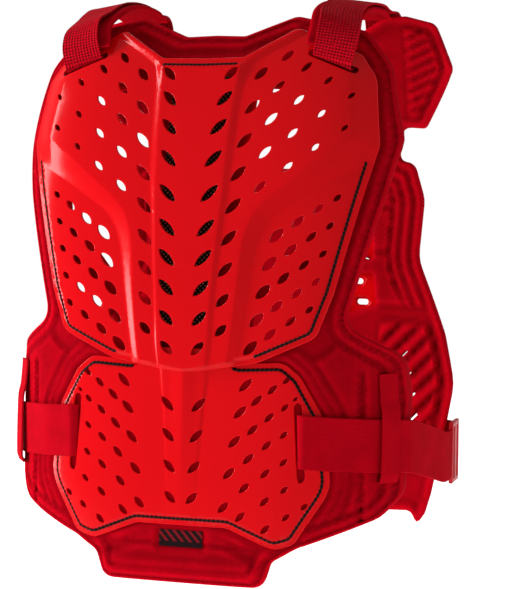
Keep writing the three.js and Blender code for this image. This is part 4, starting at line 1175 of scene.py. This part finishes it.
def elastic(name, node, side, centres):
    """A length of the waist elastic, its width upright."""
    piece = strap(name, side, centres, [(0, 0, -1)] * len(centres),
                  flat_section(ELASTIC_WIDTH, ELASTIC_WALL, selvedge=0.1))
    return dress(piece, ELASTIC, "webbing", node)


def waist_elastic(label, side):
    """Elastic from the abdomen plate's slot round the waist to the buckle."""
    # Across, out from the body and share of the sag, from the slot to the wing's edge
    body = [(WAIST_SLOT_X - 1, CLEARANCE, 0), (WAIST_SLOT_X - 0.5, PLATE_WALL - 0.5, 0),
            (WAIST_SLOT_X + 2.5, PLATE_WALL + 2, 0), (WAIST_SLOT_X + 12, PLATE_WALL + 1, 0.03),
            (ABDOMEN_HALF + 3, PLATE_WALL + 1, 0.07), (ABDOMEN_HALF + 16, 3.2, 0.1),
            (KEEPER_X - 12, 3.2, 0.14), (KEEPER_X, 3.0, KEEPER_SAG),
            (KEEPER_X + 12, 3.0, 0.27), (LINER_HALF + 1, 2.4, 0.36)]
    centres = [seat_point(FRONT, x, -WAIST_DROP - sag * WAIST_SAG, out)
               for x, out, sag in body]
    centres += [np.array([TORSO_HALF + 1, -0.22 * FRONT_REACH, BUCKLE_Z + 0.3 * WAIST_SAG]),
                np.array([TORSO_HALF + 6, 0, BUCKLE_Z]),
                np.array([TORSO_HALF + 6, BUCKLE_Y - 0.5 * BUCKLE_LENGTH + 4, BUCKLE_Z])]
    return elastic(f"waist_elastic_{label}", f"side_strap_{label}", side, centres)


def keeper_loop(label, side):
    """Upright keeper sewn to the wing above and below the elastic."""
    middle = -WAIST_DROP - KEEPER_SAG * WAIST_SAG
    bridge = ELASTIC_WALL + 4.2
    half = ELASTIC_WIDTH / 2
    route = [(half + KEEPER_ABOVE, 1.6), (half + 0.85 * KEEPER_ABOVE, 1.8),
             (half + 0.4 * KEEPER_ABOVE, 3.6), (half + 2, bridge), (-half - 2, bridge),
             (-half - 0.7 * KEEPER_BELOW, 2.4), (-half - KEEPER_BELOW, 1.8)]
    centres, across = [], []
    for rise, out in route:
        z = middle + rise
        centres.append(seat_point(FRONT, KEEPER_X, z, out + 1.2))
        across.append(seat_point(FRONT, KEEPER_X - 1, z, out)
                      - seat_point(FRONT, KEEPER_X + 1, z, out))
    piece = strap(f"keeper_loop_{label}", side, centres, across,
                  flat_section(KEEPER_WIDTH, KEEPER_WALL))
    return dress(piece, ELASTIC, "webbing", f"strap_keeper_{label}")


def anchor_elastic(label, side):
    """Short strap from the buckle to the back padding."""
    out = BACK_LINER_OUT + 2 * CLEARANCE
    centres = [np.array([TORSO_HALF + 6, BUCKLE_Y + 0.5 * BUCKLE_LENGTH - 4, BUCKLE_Z]),
               np.array([TORSO_HALF + 2, 0.5 * (BUCKLE_Y + BACK_REACH), BUCKLE_Z]),
               seat_point(BACK, BACK_LINER_HALF - 4, BUCKLE_Z, out + 1.4),
               seat_point(BACK, BACK_LINER_HALF - 20, BUCKLE_Z, out + 0.8),
               seat_point(BACK, LOWER_BACK_HALF + 4, BUCKLE_Z, out + 0.6)]
    return elastic(f"anchor_elastic_{label}", f"back_anchor_{label}", side, centres)


def ladder_buckle(label, side):
    """Moulded frame with a middle bar, made from a block by two cuts and a bevel."""
    x = side * (TORSO_HALF + 7)
    ladder = block((x, BUCKLE_Y, BUCKLE_Z), (BUCKLE_WALL, BUCKLE_LENGTH, BUCKLE_WIDTH))
    for way in (-1, 1):
        cutter = block((x, BUCKLE_Y + way * BUCKLE_LENGTH / 4, BUCKLE_Z),
                       (BUCKLE_WALL * 3, BUCKLE_OPENING, ELASTIC_WIDTH + 2))
        finish_with(ladder, "BOOLEAN", object=cutter, operation="DIFFERENCE", solver="EXACT")
        bpy.data.objects.remove(cutter)
    finish_with(ladder, "BEVEL", width=1.1 * MM, segments=3, limit_method="ANGLE",
                angle_limit=math.radians(40))
    only(ladder)
    bpy.ops.object.shade_smooth_by_angle(angle=math.radians(40))
    ladder.name = ladder.data.name = f"ladder_buckle_{label}"
    return dress(ladder, PLASTIC, "buckle", f"side_buckle_{label}")


def block(centre, size):
    """A block at its place and size in millimetres."""
    bpy.ops.object.select_all(action="DESELECT")
    bpy.ops.mesh.primitive_cube_add(size=1, location=Vector(centre) * MM)
    piece = bpy.context.object
    piece.scale = Vector(size) * MM
    return settle(piece)


for label, side in (("left", 1), ("right", -1)):
    shoulder_sleeve(label, side)
    shoulder_strap(label, side)
    waist_elastic(label, side)
    keeper_loop(label, side)
    anchor_elastic(label, side)
    ladder_buckle(label, side)


# Stitches


def stitch_master():
    """One stitch: a slim bead lying along X, with pinched ends."""
    bpy.ops.object.select_all(action="DESELECT")
    bpy.ops.mesh.primitive_uv_sphere_add(segments=8, ring_count=5, radius=0.5)
    bead = bpy.context.object
    points = np.array([v.co for v in bead.data.vertices])
    polys = [tuple(p.vertices) for p in bead.data.polygons]
    bpy.data.objects.remove(bead)
    return points[:, [2, 0, 1]], polys


STITCH = stitch_master()


def stitches(name, paths, surface, length=5.0, gap=-0.8, width=3.7, height=1.4, lean=0.1):
    """Rows of stitches along flat paths, laid on a surface."""
    bead, polys = STITCH
    mids, tips = [], []
    for path in paths:
        run = np.concatenate([[0], np.cumsum(np.linalg.norm(np.diff(path, axis=0), axis=1))])
        at = np.arange(length / 2, run[-1] - length / 2, length + gap)
        for marks, found in ((at, mids), (at + 1, tips)):
            found.append(np.stack([np.interp(marks, run, path[:, k]) for k in (0, 1)], -1))
    mid, tip = np.concatenate(mids), np.concatenate(tips)
    here = surface(*mid.T)
    along = surface(*tip.T) - here
    along /= np.linalg.norm(along, axis=1, keepdims=True)
    normal = np.cross(surface(*(mid + (1, 0)).T) - here, surface(*(mid + (0, 1)).T) - here)
    normal /= np.linalg.norm(normal, axis=1, keepdims=True)
    normal *= np.where(normal[:, 1] * here[:, 1] < 0, -1, 1)[:, None]
    side = np.cross(normal, along)
    along = along + lean * side
    verts = (here[:, None] + bead[None, :, :1] * length * along[:, None]
             + bead[None, :, 1:2] * width * side[:, None]
             + (bead[None, :, 2:] * height + 0.25) * normal[:, None])
    faces = [tuple(k * len(bead) + i for i in p) for k in range(len(mid)) for p in polys]
    return mesh_piece(name, verts.reshape(-1, 3), faces)


def stretches(loop, keep):
    """The parts of a closed path whose points are kept, as open paths."""
    n = len(loop)
    first = next((i for i in range(n) if keep[i] and not keep[i - 1]), 0)
    order = [(first + i) % n for i in range(n)]
    parts, part = [], []
    for i in order:
        if keep[i]:
            part.append(loop[i])
        elif part:
            parts.append(np.array(part))
            part = []
    if part:
        parts.append(np.array(part))
    return [p for p in parts if len(p) > 3]


# The thread leaves out the middle of the chest plate's foot and of the abdomen plate's top
FOOT_HALF, FOOT_FROM = 64, -200
LAP_HALF, LAP_TO = 48, -326


def stitched_rim(name, edge, surface, sewn):
    """Thread along a plate's flange, where sewn says that it is sewn."""
    line = resample(inward(edge, RIM_FLANGE), 2.0)
    piece = stitches(name, stretches(line, sewn(*line.T)), surface)
    return dress(piece, THREAD, "label")


def chest_sewn(x, z):
    return (chest_flanged(x, z) > 0.6) & ~((np.abs(x) < FOOT_HALF) & (z < FOOT_FROM))


def abdomen_sewn(x, z):
    return (z < LAP_TO) | (np.abs(x) > LAP_HALF)


stitched_rim("chest_stitching", CHEST_EDGE, chest_surface, chest_sewn)
stitched_rim("abdomen_stitching", ABDOMEN_EDGE, abdomen_surface, abdomen_sewn)

# The mesh and the tag keep their own solids
for node, material in (("front_mesh", MESH), ("front_label", TAG)):
    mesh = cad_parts[node].data
    mesh.materials.clear()
    mesh.materials.append(material)

# Studio


def camera_at_photo():
    """The camera that matches the photograph, solved from mirrored points of the plates."""
    focal_px, long_side_px, sensor = 1800.0, 589.0, 36.0
    place = (0.5422, -1.6724, -0.1406)
    yaw, pitch, roll = (math.radians(a) for a in (17.455, 4.3, 0.324))
    ahead = Vector((-math.sin(yaw) * math.cos(pitch), math.cos(yaw) * math.cos(pitch),
                    -math.sin(pitch)))
    right = Vector((math.cos(yaw), math.sin(yaw), 0))
    up = right.cross(ahead)
    turned = right * math.cos(roll) + up * math.sin(roll)
    upright = up * math.cos(roll) - right * math.sin(roll)
    data = bpy.data.cameras.new("photo_camera")
    data.sensor_width = sensor
    data.lens = focal_px / long_side_px * sensor
    data.clip_start, data.clip_end = 0.05, 50
    camera = bpy.data.objects.new("photo_camera", data)
    turn = Matrix((turned, upright, -ahead)).transposed().to_4x4()
    camera.matrix_world = Matrix.Translation(place) @ turn
    bpy.context.scene.collection.objects.link(camera)
    bpy.context.scene.camera = camera


def studio_light(name, place, aim, size, watts):
    """A soft box that faces its aim."""
    data = bpy.data.lights.new(name, "AREA")
    data.shape = "RECTANGLE"
    data.size, data.size_y = size
    data.energy = watts
    lamp = bpy.data.objects.new(name, data)
    lamp.location = place
    lamp.rotation_mode = "QUATERNION"
    lamp.rotation_quaternion = (Vector(aim) - Vector(place)).to_track_quat("-Z", "Y")
    bpy.context.scene.collection.objects.link(lamp)


def room():
    """Pale to the camera, dim as a light, so that the soft boxes shape the forms."""
    world = bpy.data.worlds.new("pale_room")
    world.use_nodes = True
    tree = world.node_tree
    seen, dim = tree.nodes["Background"], tree.nodes.new("ShaderNodeBackground")
    seen.inputs["Color"].default_value = rgb(1, 1, 1)
    seen.inputs["Strength"].default_value = 1.0
    dim.inputs["Color"].default_value = rgb(1, 1, 1)
    dim.inputs["Strength"].default_value = 0.4
    rays = tree.nodes.new("ShaderNodeLightPath")
    choice = tree.nodes.new("ShaderNodeMixShader")
    tree.links.new(rays.outputs["Is Camera Ray"], choice.inputs[0])
    tree.links.new(dim.outputs[0], choice.inputs[1])
    tree.links.new(seen.outputs[0], choice.inputs[2])
    tree.links.new(choice.outputs[0], tree.nodes["World Output"].inputs["Surface"])
    bpy.context.scene.world = world


def studio():
    """Pale floor that glows a little, so that it meets the room's white, and soft boxes."""
    bpy.ops.object.select_all(action="DESELECT")
    bpy.ops.mesh.primitive_plane_add(size=3.2, location=(0, 0.7, -0.60))
    floor = bpy.context.object
    floor.name = floor.data.name = "floor"
    finish = Finish("pale_floor", 1.0, specular=0.0)
    finish.colour(rgb(0.9, 0.9, 0.9))
    finish.shader.inputs["Emission Color"].default_value = rgb(1, 1, 1)
    finish.shader.inputs["Emission Strength"].default_value = 0.8
    floor.data.materials.append(finish.material)
    room()
    bpy.context.scene.view_settings.view_transform = "Standard"
    aim = (0, -0.1, -0.25)
    studio_light("soft_left", (-1.9, -0.7, 0.2), aim, (0.5, 1.8), 46)
    studio_light("soft_behind", (-0.6, 1.8, 1.0), aim, (1.6, 1.0), 6)


camera_at_photo()
studio()
